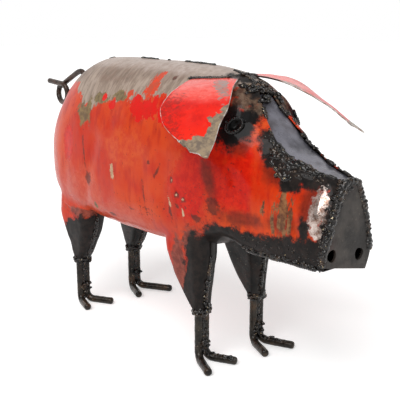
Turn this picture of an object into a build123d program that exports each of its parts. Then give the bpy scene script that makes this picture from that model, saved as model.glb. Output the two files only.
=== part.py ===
from build123d import *
from math import cos, pi, radians, sin, sqrt, tan
import os

# A pig welded together from old drum sheet and round steel bar.
# X runs from the tail to the snout, Y to the pig's left, Z up from the floor.
# While it is drawn, X is zero at the rear legs; at the end the whole pig moves
# along X, so that the origin is the middle of its box, on the floor.

# Overall sizes of the body
body_length = 330.0
body_width = 98.0
back_height = 223.4
belly_height = 85.5
jaw_lift = 16.5
rump_reach = 46.0
rump_taper = 86.0
sheet = 1.0
seam_gap = 0.3
fit_gap = 0.15

# Forehead, chin and snout
plate_gap = 0.7
cheek_lip = 1.2
snout_offset = 2.5
snout_top_lift = 2.0
snout_sheet = 2.0
jaw_rise = 2.3
nostril_bore = 8.2
nostril_pitch = 27.0
nostril_height = 7.2
nostril_aside = 3.2
nostril_slope = 3.6
eye_bore = 7.5
eye_ring_wall = 2.2
eye_ring_height = 1.6

# Legs and toes
leg_spacing = 170.0
rear_track = 57.0
front_track = 54.6
front_skew = 3.0
bar_diameter = 6.35
bar_gap = 0.1
bar_top = 64.0
toe_bend = 7.0
toe_flat = 0.4
toe_round = 1.4
cone_foot_height = 42.0
cone_sink = 28.5
cone_length = 52.0
cone_width = 27.0

# Ears
ear_length = 110.0
ear_sheet = 1.0
ear_sink = 2.9
ear_sweep = 132.6
ear_droop = 6.3

# Tail
tail_diameter = 5.0
tail_curl = 17.0
tail_rise = 13.7
tail_step = 6.4
tail_weld_depth = 2.2

# Weld metal
bead_radius = 3.0
bead_inset = 2.0
fine_bead_radius = 1.6
bead_pitch = 7.0
knee_bead = 1.8
tack_length = 6.0
ankle_weld_length = 9.0

# One overrun serves all cuts
overrun = 10.0
upward = (0, 0, 1)

half_width = body_width / 2
body_height = back_height - belly_height
snout_x = body_length - rump_reach
jaw_height = belly_height + jaw_lift
cone_height = belly_height + cone_sink - cone_foot_height
bar_radius = bar_diameter / 2
tail_radius = tail_diameter / 2

# Cross-sections from the loin to the neck: place along the body, half width,
# top, bottom and widest height, and the roundness above and below.
trunk_shares = [
    (0.260, 0.990, 0.998, 0.004, 0.465, 2.20, 3.6),
    (0.365, 1.000, 1.000, 0.000, 0.465, 2.20, 3.6),
    (0.470, 0.990, 1.000, 0.002, 0.465, 2.20, 3.6),
    (0.565, 0.970, 0.998, 0.012, 0.465, 2.20, 3.5),
    (0.650, 0.940, 0.980, 0.040, 0.465, 2.20, 3.3),
    (0.703, 0.900, 0.950, 0.082, 0.455, 2.25, 3.2),
    (0.733, 0.865, 0.912, 0.109, 0.430, 2.30, 3.2),
]
# Cross-sections of the head: place, half width, height and half width of the
# forehead plate, bottom, widest height, and the roundness above and below.
head_shares = [
    (0.755, 0.810, 0.877, 0.100, 0.098, 0.417, 2.30, 3.2),
    (0.779, 0.745, 0.800, 0.166, 0.076, 0.395, 2.25, 3.2),
    (0.809, 0.675, 0.725, 0.235, 0.062, 0.359, 2.15, 3.2),
    (0.839, 0.620, 0.654, 0.270, 0.052, 0.330, 2.05, 3.2),
    (0.870, 0.585, 0.610, 0.268, 0.044, 0.301, 1.95, 3.1),
    (0.915, 0.540, 0.566, 0.225, 0.038, 0.265, 1.82, 3.0),
    (0.958, 0.508, 0.540, 0.165, 0.034, 0.236, 1.62, 3.0),
    (1.000, 0.470, 0.522, 0.120, 0.030, 0.196, 1.40, 3.0),
    (1.030, 0.455, 0.516, 0.110, 0.028, 0.186, 1.36, 3.0),
]
# Where the head begins to lean to the pig's right
neck_share = 0.715
# How far the rump has closed at each of its cross-sections, from the end, and
# how squarely it closes in plan, above and below
rump_shares = [0.985, 0.955, 0.900, 0.810, 0.670, 0.450, 0.220]
rump_plan_share = 2.85
rump_upper_share = 2.3
rump_lower_share = 3.2
rump_widest_share = 0.37
rump_roof_share = 1.8
# Points in each quarter of a cross-section, and the places along the body where
# one is drawn, from the loin forward
outline_turns = 5
station_shares = [0.260, 0.360, 0.460, 0.550, 0.630, 0.690, 0.733]
station_shares += [0.770, 0.803, 0.836, 0.870, 0.908, 0.950, 0.995, 1.036]

# Places up the snout plate at which its outline is taken from the head
snout_rise_shares = [0.15, 0.28, 0.40, 0.52, 0.64, 0.76, 0.87, 0.95]
bead_start_share = 0.10
# Feet of the plate, left and right: out from the head's middle in half widths,
# and up in heights of the plate
snout_foot_shares = [(0.362, -0.113), (-0.551, 0.052)]

# Leg cones: height, length, width, set back of the centre, corner radius
rear_cone_shares = [
    (0.090, 0.320, 0.570, 0.030, 0.30),
    (0.220, 0.500, 0.650, 0.050, 0.36),
    (0.440, 0.800, 0.830, 0.060, 0.42),
    (0.640, 0.940, 0.920, 0.050, 0.44),
    (1.000, 0.900, 0.900, 0.080, 0.46),
]
front_cone_shares = [
    (0.090, 0.300, 0.560, -0.060, 0.30),
    (0.220, 0.480, 0.630, -0.130, 0.36),
    (0.440, 0.720, 0.770, -0.200, 0.42),
    (0.640, 0.880, 0.880, -0.240, 0.44),
    (1.000, 0.940, 0.940, -0.280, 0.46),
]

# Rounding of a cone's foot, length of a bar's rounded stub, and the corners and
# bevels of the collars
foot_round_share = 0.48
stub_share = 1.2
corner_share = 0.3
bevel_share = 0.4
ankle_bead_share = 0.8
# Straight lengths that a cold bend is struck in
bend_chords = 2
# Toes of each leg, in bar diameters: reach forward and spread, outer and inner
toe_shares = {
    "right_rear": ((3.3, 1.0), (3.4, 2.1)),
    "left_rear": ((4.6, 2.9), (3.8, 1.5)),
    "right_front": ((3.8, 1.8), (3.5, 1.9)),
    "left_front": ((4.2, 1.9), (3.8, 1.6)),
}

# Ear: bend across the sheet, and its outline in plan, as shares of its length
ear_bend_shares = [
    (-0.210, -0.020),
    (-0.120, -0.004),
    (-0.010, 0.000),
    (0.150, -0.012),
    (0.290, -0.038),
    (0.435, -0.098),
    (0.550, -0.170),
    (0.660, -0.250),
    (0.760, -0.325),
    (0.860, -0.395),
]
ear_front_shares = [
    (0.210, -0.020),
    (0.300, 0.110),
    (0.436, 0.273),
    (0.495, 0.395),
    (0.555, 0.490),
    (0.609, 0.590),
]
ear_rear_shares = [
    (0.455, 0.610),
    (0.345, 0.610),
    (0.227, 0.600),
    (0.155, 0.573),
    (0.109, 0.536),
    (0.064, 0.445),
    (0.000, 0.318),
    (-0.064, 0.200),
    (-0.136, 0.064),
    (-0.218, -0.020),
]

# Tail: its root along the body, and in curl diameters from that root the arch of
# the rod, the middle of the curl, its tip, and the way in which the curl steps
# aside to pass itself
tail_root_x_share = 0.045
tail_arch_shares = [(0.40, -0.90), (-0.06, -0.23), (-0.22, -0.06), (-0.48, -0.02), (-0.94, -0.18)]
tail_weld_shares = (0.20, 0.95)
curl_centre_shares = (-2.32, -1.38)
tail_tip_shares = (-3.75, -0.80)
curl_aside_shares = (0.745, -0.624, 0.237)
# Where the curl begins and ends round its middle, in degrees, and its straight lengths
curl_from = 130.0
curl_to = 445.0
curl_chords = 9

# Root of the left ear, along the body and out from its middle
ear_place_shares = (0.6394, 0.265)

# Eyes, and where the chin plate begins
eye_x_share = 0.761
eye_height_share = 0.736
chin_back_share = 0.765
chin_steps = 6

# Weld metal: facets of a bead, depth of its ripples, size of its ends
bead_facets = 6
ripple_share = 0.80
bead_end_share = 0.45
# Runs of weld metal, as places along the body from and to
spine_weld_shares = [
    (0.100, 0.130),
    (0.170, 0.200),
    (0.310, 0.390),
    (0.420, 0.437),
    (0.485, 0.600),
    (0.655, 0.735),
]
belly_weld_shares = [(0.190, 0.240), (0.380, 0.440), (0.520, 0.560)]
jaw_weld_shares = (0.775, 0.990)
forehead_weld_shares = [0.785, 0.850, 0.920, 0.975]
ear_weld_shares = [-0.16, -0.08, 0.00, 0.08, 0.15]
seam_weld_shares = (0.090, 0.620)


def superellipse(half, top, bottom, widest, upper, lower):
    """Half an outline, from the top to the bottom, as points (y, z)."""
    points = []
    for step in range(2 * outline_turns + 1):
        angle = pi * step / (2 * outline_turns)
        above = step <= outline_turns
        power = upper if above else lower
        reach = top - widest if above else bottom - widest
        across = abs(sin(angle)) ** (2 / power) if 0 < step < 2 * outline_turns else 0.0
        rise = abs(cos(angle)) ** (2 / power) if step != outline_turns else 0.0
        points.append((half * across, widest + reach * rise))
    return points


def height_at(share):
    return belly_height + body_height * share


def body_row(share_row):
    """A cross-section of the trunk in real sizes."""
    place, half, top, bottom, widest, upper, lower = share_row
    return (
        place * body_length - rump_reach,
        half * half_width,
        height_at(top),
        height_at(bottom),
        height_at(widest),
        upper,
        lower,
    )


def head_row(share_row):
    """A cross-section of the head, whose cheeks rise just past the forehead plate."""
    place, half, bridge, bridge_half, bottom, widest, upper, lower = share_row
    opening = (bridge_half * half_width + plate_gap) / (half * half_width)
    edge = height_at(bridge) + cheek_lip
    middle = height_at(widest)
    top = middle + (edge - middle) / (1 - opening**upper) ** (1 / upper)
    return (
        place * body_length - rump_reach,
        half * half_width,
        top,
        height_at(bottom),
        middle,
        upper,
        lower,
    )


def rump_row(closed, inset):
    """A cross-section of the rump, which closes like a squared ellipse."""
    x, half, top, bottom, widest, upper, lower = body_row(trunk_shares[0])
    reach = rump_taper - inset
    plan = (1 - closed**rump_plan_share) ** (1 / rump_plan_share)
    above = (1 - closed**rump_upper_share) ** (1 / rump_upper_share)
    below = (1 - closed**rump_lower_share) ** (1 / rump_lower_share)
    middle = widest + (height_at(rump_widest_share) - widest) * closed
    roof = upper + (rump_roof_share - upper) * sqrt(closed)
    return (
        x - closed * reach,
        half * plan,
        middle + (top - middle) * above,
        middle + (bottom - middle) * below,
        middle,
        roof,
        lower,
    )


def key_rows():
    rows = [body_row(share_row) for share_row in trunk_shares]
    return rows + [head_row(share_row) for share_row in head_shares]


def slopes(places, values):
    """Slopes of a smooth curve through values, which never overshoots them."""
    steps = [b - a for a, b in zip(places, places[1:])]
    rises = [(b - a) / step for a, b, step in zip(values, values[1:], steps)]
    inner = []
    for left, right, a, b in zip(rises, rises[1:], steps, steps[1:]):
        weight = 3 * (a + b)
        even = weight / ((2 * b + a) / left + (b + 2 * a) / right) if left * right > 0 else 0.0
        inner.append(even)
    return [rises[0], *inner, rises[-1]]


def smooth_at(x, places, values):
    """The smooth curve through values, read at x."""
    bends = slopes(places, values)
    last = len(places) - 2
    index = min(last, max(0, sum(1 for place in places if place <= x) - 1))
    step = places[index + 1] - places[index]
    t = (x - places[index]) / step
    start, end = values[index], values[index + 1]
    return (
        start * (1 + 2 * t) * (1 - t) ** 2
        + end * t * t * (3 - 2 * t)
        + step * t * (1 - t) * (bends[index] * (1 - t) - bends[index + 1] * t)
    )


def body_rows(inset=0.0):
    """Every cross-section of the body, from the rump to past the snout."""
    keys = key_rows()
    places = [row[0] for row in keys]
    rows = [rump_row(closed, inset) for closed in rump_shares]
    for share in station_shares:
        x = share * body_length - rump_reach
        columns = zip(*[row[1:] for row in keys])
        rows.append((x, *[smooth_at(x, places, column) for column in columns]))
    return rows


def row_at(x):
    """The cross-section at any place, between the two nearest of the list."""
    rows = body_rows()
    for behind, ahead in zip(rows, rows[1:]):
        if behind[0] <= x <= ahead[0]:
            part = (x - behind[0]) / (ahead[0] - behind[0])
            return [a + part * (b - a) for a, b in zip(behind, ahead)]
    return list(rows[0] if x < rows[0][0] else rows[-1])


def upper_height(x, y):
    """Height of the back or the cheek over a point in plan."""
    _, half, top, _, widest, upper, _ = row_at(x)
    return widest + (top - widest) * (1 - (abs(y) / half) ** upper) ** (1 / upper)


def side_reach(x, z):
    """How far the side of the body stands out at a height."""
    _, half, top, bottom, widest, upper, lower = row_at(x)
    rise = (z - widest) / (top - widest) if z > widest else (widest - z) / (widest - bottom)
    power = upper if z > widest else lower
    return half * max(0.0, 1 - rise**power) ** (1 / power)


def nose_shift(x):
    """How far the head has leaned to the pig's right at a place ahead of the neck."""
    neck = neck_share * body_length - rump_reach
    part = min(1.0, max(0.0, (x - neck) / (snout_x - neck)))
    return -snout_offset * part * part * (3 - 2 * part)


def outline_steps():
    """Spacing of the points round a cross-section, from one amidships."""
    row = body_row(trunk_shares[1])
    outline = [Vector(*point) for point in superellipse(*row[1:])]
    lengths = [0.0]
    for behind, ahead in zip(outline, outline[1:]):
        lengths.append(lengths[-1] + (ahead - behind).length)
    return [length / lengths[-1] for length in lengths]


def half_loft(side, inset):
    """Solid of one half of the body, drawn in by an inset on every side."""
    steps = outline_steps()
    inner_edge = -overrun if inset else 0.0
    faces = []
    for x, half, top, bottom, widest, upper, lower in body_rows(inset):
        shift = nose_shift(x)
        outline = superellipse(half - inset, top - inset, bottom + inset, widest, upper, lower)
        points = [(x, shift + side * y, z) for y, z in outline]
        curve = Edge.make_spline(points, parameters=steps)
        corners = [points[-1], points[0]]
        if inset:
            edge = shift + side * inner_edge
            corners[1:1] = [(x, edge, bottom + inset), (x, edge, top - inset)]
        lines = [Edge.make_line(a, b) for a, b in zip(corners, corners[1:])]
        faces.append(Face(Wire([curve, *lines])))
    return loft(faces, ruled=True)


def plan_face(rows):
    """A flat face from points (x, y, y) along its left and its right edge."""
    left = [(x, y) for x, y, _ in rows]
    right = [(x, y) for x, _, y in rows]
    edges = [
        Edge.make_spline(left),
        Edge.make_line(left[-1], right[-1]),
        Edge.make_spline(right),
        Edge.make_line(right[0], left[0]),
    ]
    return Face(Wire(edges))


def bridge_points(extra):
    """Plan of the forehead plate, widened by an extra on each side."""
    rows = []
    for row in head_shares:
        x = row[0] * body_length - rump_reach
        half = row[3] * half_width + extra
        rows.append((x, nose_shift(x) + half, nose_shift(x) - half))
    return rows


def snout_plane():
    """Upright plane of the snout plate's back."""
    return Plane(origin=(snout_x, 0, jaw_height), x_dir=(0, 1, 0), z_dir=(1, 0, 0))


def ahead_of_snout():
    """Block that cuts away all that reaches past the snout plate's back."""
    block = Box(
        body_length, body_length, body_length, align=(Align.CENTER, Align.CENTER, Align.MIN)
    )
    return snout_plane().location * block


def move_along(x, y, z):
    return Location((x, y, z))


def leg_places():
    """Centre of each leg at the ankle, by name."""
    return {
        "right_rear": (0.0, -rear_track / 2),
        "left_rear": (0.0, rear_track / 2),
        "right_front": (leg_spacing - front_skew, -front_track / 2),
        "left_front": (leg_spacing, front_track / 2),
    }


def cone_solid(x, y, share_rows, inset):
    """Leg cone, from a foot that clasps the two bars up into the body."""
    pair = bar_diameter + 2 * fit_gap
    foot_length = pair + 2 * (sheet - inset)
    foot_width = pair + bar_diameter + bar_gap + 2 * (sheet - inset)
    sections = []
    foot = RectangleRounded(foot_length, foot_width, foot_length * foot_round_share)
    sections.append(move_along(x, y, cone_foot_height) * foot)
    for rise, length, width, setback, corner in share_rows:
        long = length * cone_length - 2 * inset
        wide = width * cone_width - 2 * inset
        radius = corner * min(long, wide)
        spot = move_along(
            x + setback * cone_length, y, cone_foot_height + rise * cone_height
        )
        sections.append(spot * RectangleRounded(long, wide, radius))
    return loft(sections, ruled=True)


def side_block(y, outward):
    """Block on the outer or the inner side of a leg's middle."""
    size = 2 * body_length
    centre = y + outward * (size / 2 + seam_gap / 2)
    return Pos(0, centre, 0) * Box(size, size, size)


def make_cone(name, body_solid):
    """Outer lobe and inner panel of one leg."""
    x, y = leg_places()[name]
    rows = rear_cone_shares if "rear" in name else front_cone_shares
    hollow = cone_solid(x, y, rows, 0.0) - cone_solid(x, y, rows, sheet)
    hollow = hollow - body_solid
    outward = 1 if y > 0 else -1
    lobe = largest(hollow & side_block(y, outward))
    panel = largest(hollow & side_block(y, -outward))
    return lobe, panel


def largest(shape):
    return sorted(shape.solids(), key=lambda solid: solid.volume)[-1]


def round_end(line, radius, rounding):
    """Stub with a broken edge that closes the far end of a swept rod."""
    stub = extrude(Circle(radius), amount=rounding * stub_share)
    rim = stub.edges().filter_by(GeomType.CIRCLE).sort_by(Axis.Z)[-1]
    return Plane(origin=line @ 1, z_dir=line % 1) * chamfer(rim, rounding)


def chorded(line):
    """The line with each of its bends struck in short straight lengths, as cold bends are."""
    points = [line @ 0]
    for edge in line.edges():
        steps = bend_chords if edge.geom_type == GeomType.CIRCLE else 1
        points += [edge @ (step / steps) for step in range(1, steps + 1)]
    return Wire([Edge.make_line(a, b) for a, b in zip(points, points[1:])])


def make_bar(name, index):
    """One leg bar: down from the cone, bent forward and out into a toe."""
    x, y = leg_places()[name]
    outward = 1 if y > 0 else -1
    side = outward if index == 0 else -outward
    reach, spread = toe_shares[name][index]
    y = y + side * (bar_diameter + bar_gap) / 2
    floor = bar_radius - toe_flat
    corner = Vector(x, y, floor)
    toe = Vector(reach * bar_diameter, side * spread * bar_diameter, 0)
    tip = corner + toe
    path = chorded(FilletPolyline((x, y, bar_top), corner, tip, radius=toe_bend))
    profile = Plane(origin=(x, y, bar_top), z_dir=(0, 0, -1)) * Circle(bar_radius)
    bar = sweep(profile, path=path, transition=Transition.RIGHT)
    bar = bar.fuse(round_end(path, bar_radius, toe_round))
    return bar - Pos(0, 0, -body_length / 2) * Box(
        2 * body_length, 2 * body_length, body_length
    )


def ear_root():
    """Point that the bent sheet of the left ear is drawn from."""
    along, out = ear_place_shares
    x, y = along * body_length - rump_reach, out * half_width
    return Vector(x, y, upper_height(x, y) - ear_sink)


def ear_frame():
    """Plane square to the straight lines that the bent ear is made of."""
    sweep_angle = radians(ear_sweep)
    along = Vector(
        cos(sweep_angle) * cos(radians(ear_droop)),
        sin(sweep_angle) * cos(radians(ear_droop)),
        -sin(radians(ear_droop)),
    )
    across = Vector(sin(sweep_angle), -cos(sweep_angle), 0)
    return Plane(origin=ear_root(), x_dir=across, z_dir=along * -1)


def make_left_ear(body_solid):
    frame = ear_frame()
    bend = [(q * ear_length, rise * ear_length) for q, rise in ear_bend_shares]
    under = [(q, rise - ear_sheet) for q, rise in bend]
    strip = Face(
        Wire(
            [
                Edge.make_spline(bend),
                Edge.make_line(bend[-1], under[-1]),
                Edge.make_spline(under),
                Edge.make_line(under[0], bend[0]),
            ]
        )
    )
    sheet_solid = extrude(frame * strip, amount=ear_length, both=True)
    root = Vector(ear_root().X, ear_root().Y, 0)
    front = [root + Vector(a, b, 0) * ear_length for a, b in ear_front_shares]
    rear = [root + Vector(a, b, 0) * ear_length for a, b in ear_rear_shares]
    outline = Face(
        Wire(
            [
                Edge.make_spline(front),
                Edge.make_spline([front[-1], *rear]),
                Edge.make_line(rear[-1], front[0]),
            ]
        )
    )
    prism = extrude(outline, amount=body_length, dir=upward)
    return largest((sheet_solid & prism) - body_solid)


def weld_bead(points, radius, side):
    """Rippled bead of weld metal along points, with a side that its facets face."""
    sections = []
    last = len(points) - 1
    for index, point in enumerate(points):
        ahead = Vector(*points[min(index + 1, last)]) - Vector(*points[max(index - 1, 0)])
        ripple = ripple_share if index % 2 else 1.0
        if index in (0, last):
            ripple = bead_end_share
        plane = Plane(origin=point, x_dir=ahead.cross(Vector(*side)), z_dir=ahead)
        sections.append(plane * RegularPolygon(radius * ripple, bead_facets))
    return loft(sections, ruled=True)


def run_along(start, end, pitch, place):
    """Points of a bead from start to end, two for each ripple, by a rule for its place."""
    count = 2 * max(1, round(abs(end - start) / pitch))
    return [place(start + (end - start) * step / count) for step in range(count + 1)]


def snout_height():
    """Height of the snout plate, whose top stands just above the forehead plate."""
    return height_at(head_shares[-2][2]) + snout_top_lift - jaw_height


def snout_edge(side, rise, inset):
    """Point of the snout plate's outline, which follows the head, in its own plane."""
    reach = side_reach(snout_x, jaw_height + rise)
    return (nose_shift(snout_x) + side * (reach - inset), rise)


def snout_outline(inset, feet):
    """The outline from a foot on the left over the top to a foot on the right."""
    rises = [share * snout_height() for share in snout_rise_shares]
    left = [snout_edge(1, rise, inset) for rise in rises]
    right = [snout_edge(-1, rise, inset) for rise in reversed(rises)]
    top = (nose_shift(snout_x), snout_height() - inset)
    return [feet[0], *left, top, *right, feet[1]]


def make_snout_plate():
    middle = nose_shift(snout_x)
    feet = [(middle + a * half_width, b * snout_height()) for a, b in snout_foot_shares]
    rim = snout_outline(0.0, feet)
    face = Face(Wire([Edge.make_spline(rim), Edge.make_line(rim[-1], rim[0])]))
    holes = []
    for side in (-1, 1):
        across = middle - nostril_aside + side * nostril_pitch / 2
        rise = nostril_height - side * nostril_slope / 2
        holes.append(Pos(across, rise) * Circle(nostril_bore / 2))
    return extrude(snout_plane() * (Sketch() + face - holes), amount=snout_sheet)


def snout_bead():
    """Bead round the snout plate, all but its bottom edge."""
    start = bead_start_share * snout_height()
    feet = [snout_edge(side, start, bead_inset) for side in (1, -1)]
    rim = snout_plane() * Edge.make_spline(snout_outline(bead_inset, feet))
    lift = snout_plane().z_dir * snout_sheet / 2
    points = run_along(0.0, rim.length, bead_pitch, lambda at: rim @ (at / rim.length) + lift)
    return weld_bead(points, bead_radius, snout_plane().z_dir) & ahead_of_snout()


def make_forehead_plate():
    """Strip bent at the brow and again at the snout, trimmed to its plan."""
    line = []
    for row in head_shares:
        line.append((row[0] * body_length - rump_reach, height_at(row[2])))
    under = [(x, z - sheet) for x, z in line]
    profile = Face(
        Wire(
            [
                Edge.make_spline([(x, 0, z) for x, z in line]),
                Edge.make_line((line[-1][0], 0, line[-1][1]), (under[-1][0], 0, under[-1][1])),
                Edge.make_spline([(x, 0, z) for x, z in under]),
                Edge.make_line((under[0][0], 0, under[0][1]), (line[0][0], 0, line[0][1])),
            ]
        )
    )
    strip = extrude(profile, amount=half_width, both=True)
    plan = extrude(plan_face(bridge_points(0.0)), amount=body_length, dir=upward)
    return (strip & plan) - ahead_of_snout()


def jaw_level(x):
    """Height of the top of the chin plate, which rises towards the snout."""
    return jaw_height + (x - snout_x) * tan(radians(jaw_rise))


def jaw_half_width(x):
    return side_reach(x, jaw_level(x)) - sheet / 2


def jaw_plane():
    """Plane of the chin plate's top, level across and rising forward."""
    ahead = (cos(radians(jaw_rise)), 0, sin(radians(jaw_rise)))
    square = (-sin(radians(jaw_rise)), 0, cos(radians(jaw_rise)))
    return Plane(origin=(snout_x, 0, jaw_height), x_dir=ahead, z_dir=square)


def make_chin_plate():
    """Flat sheet that closes the head from below, under the cut edges of the cheeks."""
    start = chin_back_share * body_length - rump_reach
    places = [start + (snout_x - start) * step / chin_steps for step in range(chin_steps + 1)]
    rows = []
    for x in [*places, snout_x + overrun]:
        half = jaw_half_width(min(x, snout_x))
        along = (x - snout_x) / cos(radians(jaw_rise))
        rows.append((along, nose_shift(x) + half, nose_shift(x) - half))
    downward = jaw_plane().z_dir * -1
    plate = extrude(jaw_plane() * plan_face(rows), amount=sheet, dir=downward)
    return plate - ahead_of_snout()


def eye_place(side):
    """Middle of an eye on its cheek, and the way that it faces."""
    x = eye_x_share * body_length - rump_reach
    z = height_at(eye_height_share)

    def on_cheek(ahead, above):
        reach = side_reach(x + ahead, z + above)
        return Vector(x + ahead, nose_shift(x + ahead) + side * reach, z + above)

    spot = on_cheek(0.0, 0.0)
    forward = on_cheek(sheet, 0.0) - spot
    rise = on_cheek(0.0, sheet) - spot
    return spot, rise.cross(forward).normalized() * side


def make_eye_ring(side, body_solid):
    spot, facing = eye_place(side)
    rim = eye_bore / 2 + eye_ring_wall
    ring = Circle(rim) - Circle(eye_bore / 2)
    ring = extrude(Plane(origin=spot, z_dir=facing) * ring, amount=eye_ring_height, both=True)
    edge = ring.edges().filter_by(GeomType.CIRCLE)
    outer_edges = [e for e in edge if e.radius > (rim + eye_bore / 2) / 2]
    top = max(outer_edges, key=lambda e: (e.center() - spot).dot(facing))
    ring = chamfer(top, eye_ring_wall * bevel_share)
    return largest(ring - body_solid)


def bend_at(q):
    """Rise of the ear sheet at a distance across its bend."""
    rows = [(a * ear_length, b * ear_length) for a, b in ear_bend_shares]
    for behind, ahead in zip(rows, rows[1:]):
        if q <= ahead[0]:
            part = (q - behind[0]) / (ahead[0] - behind[0])
            return behind[1] + part * (ahead[1] - behind[1])
    return rows[-1][1]


def ear_height(x, y):
    """Height of the left ear sheet over a point in plan."""
    turn = radians(ear_sweep)
    droop = radians(ear_droop)
    dx, dy = x - ear_root().X, y - ear_root().Y
    across = dx * sin(turn) - dy * cos(turn)
    along = dx * cos(turn) + dy * sin(turn)
    return ear_root().Z + bend_at(across) / cos(droop) - along * tan(droop)


def ear_root_points():
    """Drops of weld metal where the left ear comes out of the back."""
    points = []
    for share in ear_weld_shares:
        x = ear_root().X + share * ear_length
        y = 0.0
        while ear_height(x, y) < upper_height(x, y) and y < half_width:
            y += sheet / 2
        points.append((x, y, upper_height(x, y)))
    return points


def make_tail(body_solid):
    """Rod from the rump with one turn in it and a straight tip."""
    root_x = tail_root_x_share * body_length - rump_reach
    root = Vector(root_x, 0, row_at(root_x)[2] + tail_rise)
    centre = root + Vector(curl_centre_shares[0], 0, curl_centre_shares[1]) * tail_curl
    aside = Vector(*curl_aside_shares).normalized() * tail_step
    points = [root + Vector(ahead, 0, above) * tail_curl for ahead, above in tail_arch_shares]
    for step in range(curl_chords + 1):
        part = step / curl_chords
        angle = radians(curl_from + (curl_to - curl_from) * part)
        spoke = Vector(cos(angle), 0, sin(angle)) * tail_curl / 2
        points.append(centre + spoke + aside * part)
    points.append(root + aside + Vector(tail_tip_shares[0], 0, tail_tip_shares[1]) * tail_curl)
    line = Wire([Edge.make_line(a, b) for a, b in zip(points, points[1:])])
    profile = Plane(origin=line @ 0, z_dir=line % 0) * Circle(tail_radius)
    rod = sweep(profile, path=line, transition=Transition.RIGHT)
    rod = rod.fuse(round_end(line, tail_radius, tail_radius / 2))
    return largest(rod - body_solid), points[0], points[1]


def both_sides(shape):
    """The piece and its mirror on the pig's right."""
    return shape, mirror(shape, about=Plane.XZ)


def chin_cut():
    """Block that takes the bottom off the head, under the plane of the jaw."""
    start = chin_back_share * body_length - rump_reach
    behind = (start - snout_x) / cos(radians(jaw_rise)) - fit_gap
    below = (Align.MIN, Align.CENTER, Align.MAX)
    block = Pos(behind, 0, 0) * Box(body_length, body_width, body_height, align=below)
    return jaw_plane().location * block


def make_shell(side, outer):
    """One half of the body as a sheet, open at the forehead, the jaw and the snout."""
    plan = plan_face(bridge_points(plate_gap))
    opening = Pos(0, 0, jaw_height + overrun * 2) * extrude(plan, amount=body_height, dir=upward)
    seam = Box(2 * body_length, seam_gap, 2 * back_height)
    shell = outer - half_loft(side, sheet)
    return largest(shell - opening - chin_cut() - seam - ahead_of_snout())


def build_pig():
    pieces = {}
    sides = {"left": 1, "right": -1}
    halves = {name: half_loft(side, 0.0) for name, side in sides.items()}
    whole = halves["left"].fuse(halves["right"])
    shells = {name: make_shell(side, halves[name]) for name, side in sides.items()}
    for name in leg_places():
        lobe, panel = make_cone(name, whole)
        half = name.split("_")[0]
        shells[half] = shells[half].fuse(lobe)
        outer_bar, inner_bar = make_bar(name, 0), make_bar(name, 1)
        pieces[name + "_leg_panel"] = panel
        pieces[name + "_outer_bar"] = outer_bar
        pieces[name + "_inner_bar"] = inner_bar
        pieces[name + "_knee_weld"] = knee_weld(name) - [outer_bar, inner_bar]
        pieces[name + "_ankle_weld"] = ankle_weld(name) - [outer_bar, inner_bar]
        pieces[name + "_seam_weld"] = largest(seam_weld(name) - [lobe, panel, whole])

    pieces["forehead_plate"] = make_forehead_plate()
    pieces["chin_plate"] = make_chin_plate()
    pieces["snout_plate"] = make_snout_plate()
    left_ear = make_left_ear(whole)
    pieces["left_ear"], pieces["right_ear"] = both_sides(left_ear)
    pieces["spine_weld"] = seam_runs(spine_weld_shares, 2) - whole
    left_weld = largest(ear_weld() - [left_ear, whole, pieces["spine_weld"]])
    pieces["left_ear_weld"], pieces["right_ear_weld"] = both_sides(left_weld)
    for name, side in sides.items():
        pieces[name + "_body_shell"] = shells[name]
        pieces[name + "_eye_ring"] = make_eye_ring(side, whole)
        jaw = jaw_weld(side) - [shells[name], pieces["chin_plate"]]
        pieces[name + "_jaw_weld"] = largest(jaw)

    pieces["tail_rod"], *tail_foot = make_tail(whole)
    pieces["tail_weld"] = largest(tail_weld(*tail_foot) - [pieces["tail_rod"], whole])
    pieces["belly_weld"] = seam_runs(belly_weld_shares, 3) - whole
    pieces["snout_weld"] = snout_bead() - pieces["snout_plate"]
    beside = [pieces["forehead_plate"], *shells.values(), pieces["snout_weld"]]
    pieces["forehead_welds"] = forehead_welds() - beside
    return pieces


def knee_weld(name):
    """Collar of weld metal that closes the foot of a leg cone round its two bars."""
    x, y = leg_places()[name]
    long = bar_diameter + 2 * fit_gap + 2 * sheet + knee_bead
    wide = long + bar_diameter + bar_gap
    collar = extrude(chamfer(Rectangle(long, wide).vertices(), long * corner_share), amount=knee_bead)
    collar = chamfer(collar.edges().group_by(Axis.Z)[0], knee_bead * bevel_share)
    return Pos(x, y, cone_foot_height - knee_bead) * collar


def ankle_weld(name):
    """Short bead in the groove between the two bars, above their bends."""
    x, y = leg_places()[name]
    ahead = x + bar_radius / 2
    start = bar_radius + toe_bend
    points = run_along(
        start, start + ankle_weld_length, bead_pitch, lambda z: (ahead, y, z)
    )
    return weld_bead(points, bar_radius * ankle_bead_share, (1, 0, 0))


def cone_front(name, rise):
    """How far forward a leg cone reaches at a share of its height."""
    rows = rear_cone_shares if "rear" in name else front_cone_shares
    places = [row[0] for row in rows]
    fronts = [(row[3] + row[1] / 2) * cone_length for row in rows]
    return leg_places()[name][0] + smooth_at(rise, places, fronts)


def seam_weld(name):
    """Bead down the front edge of a leg cone, where its lobe meets its panel."""
    y = leg_places()[name][1]
    start, end = seam_weld_shares

    def place(height):
        rise = height / cone_height
        return (cone_front(name, rise), y, cone_foot_height + height)

    points = run_along(start * cone_height, end * cone_height, bead_pitch, place)
    return weld_bead(points, fine_bead_radius, (0, 1, 0))


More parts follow.
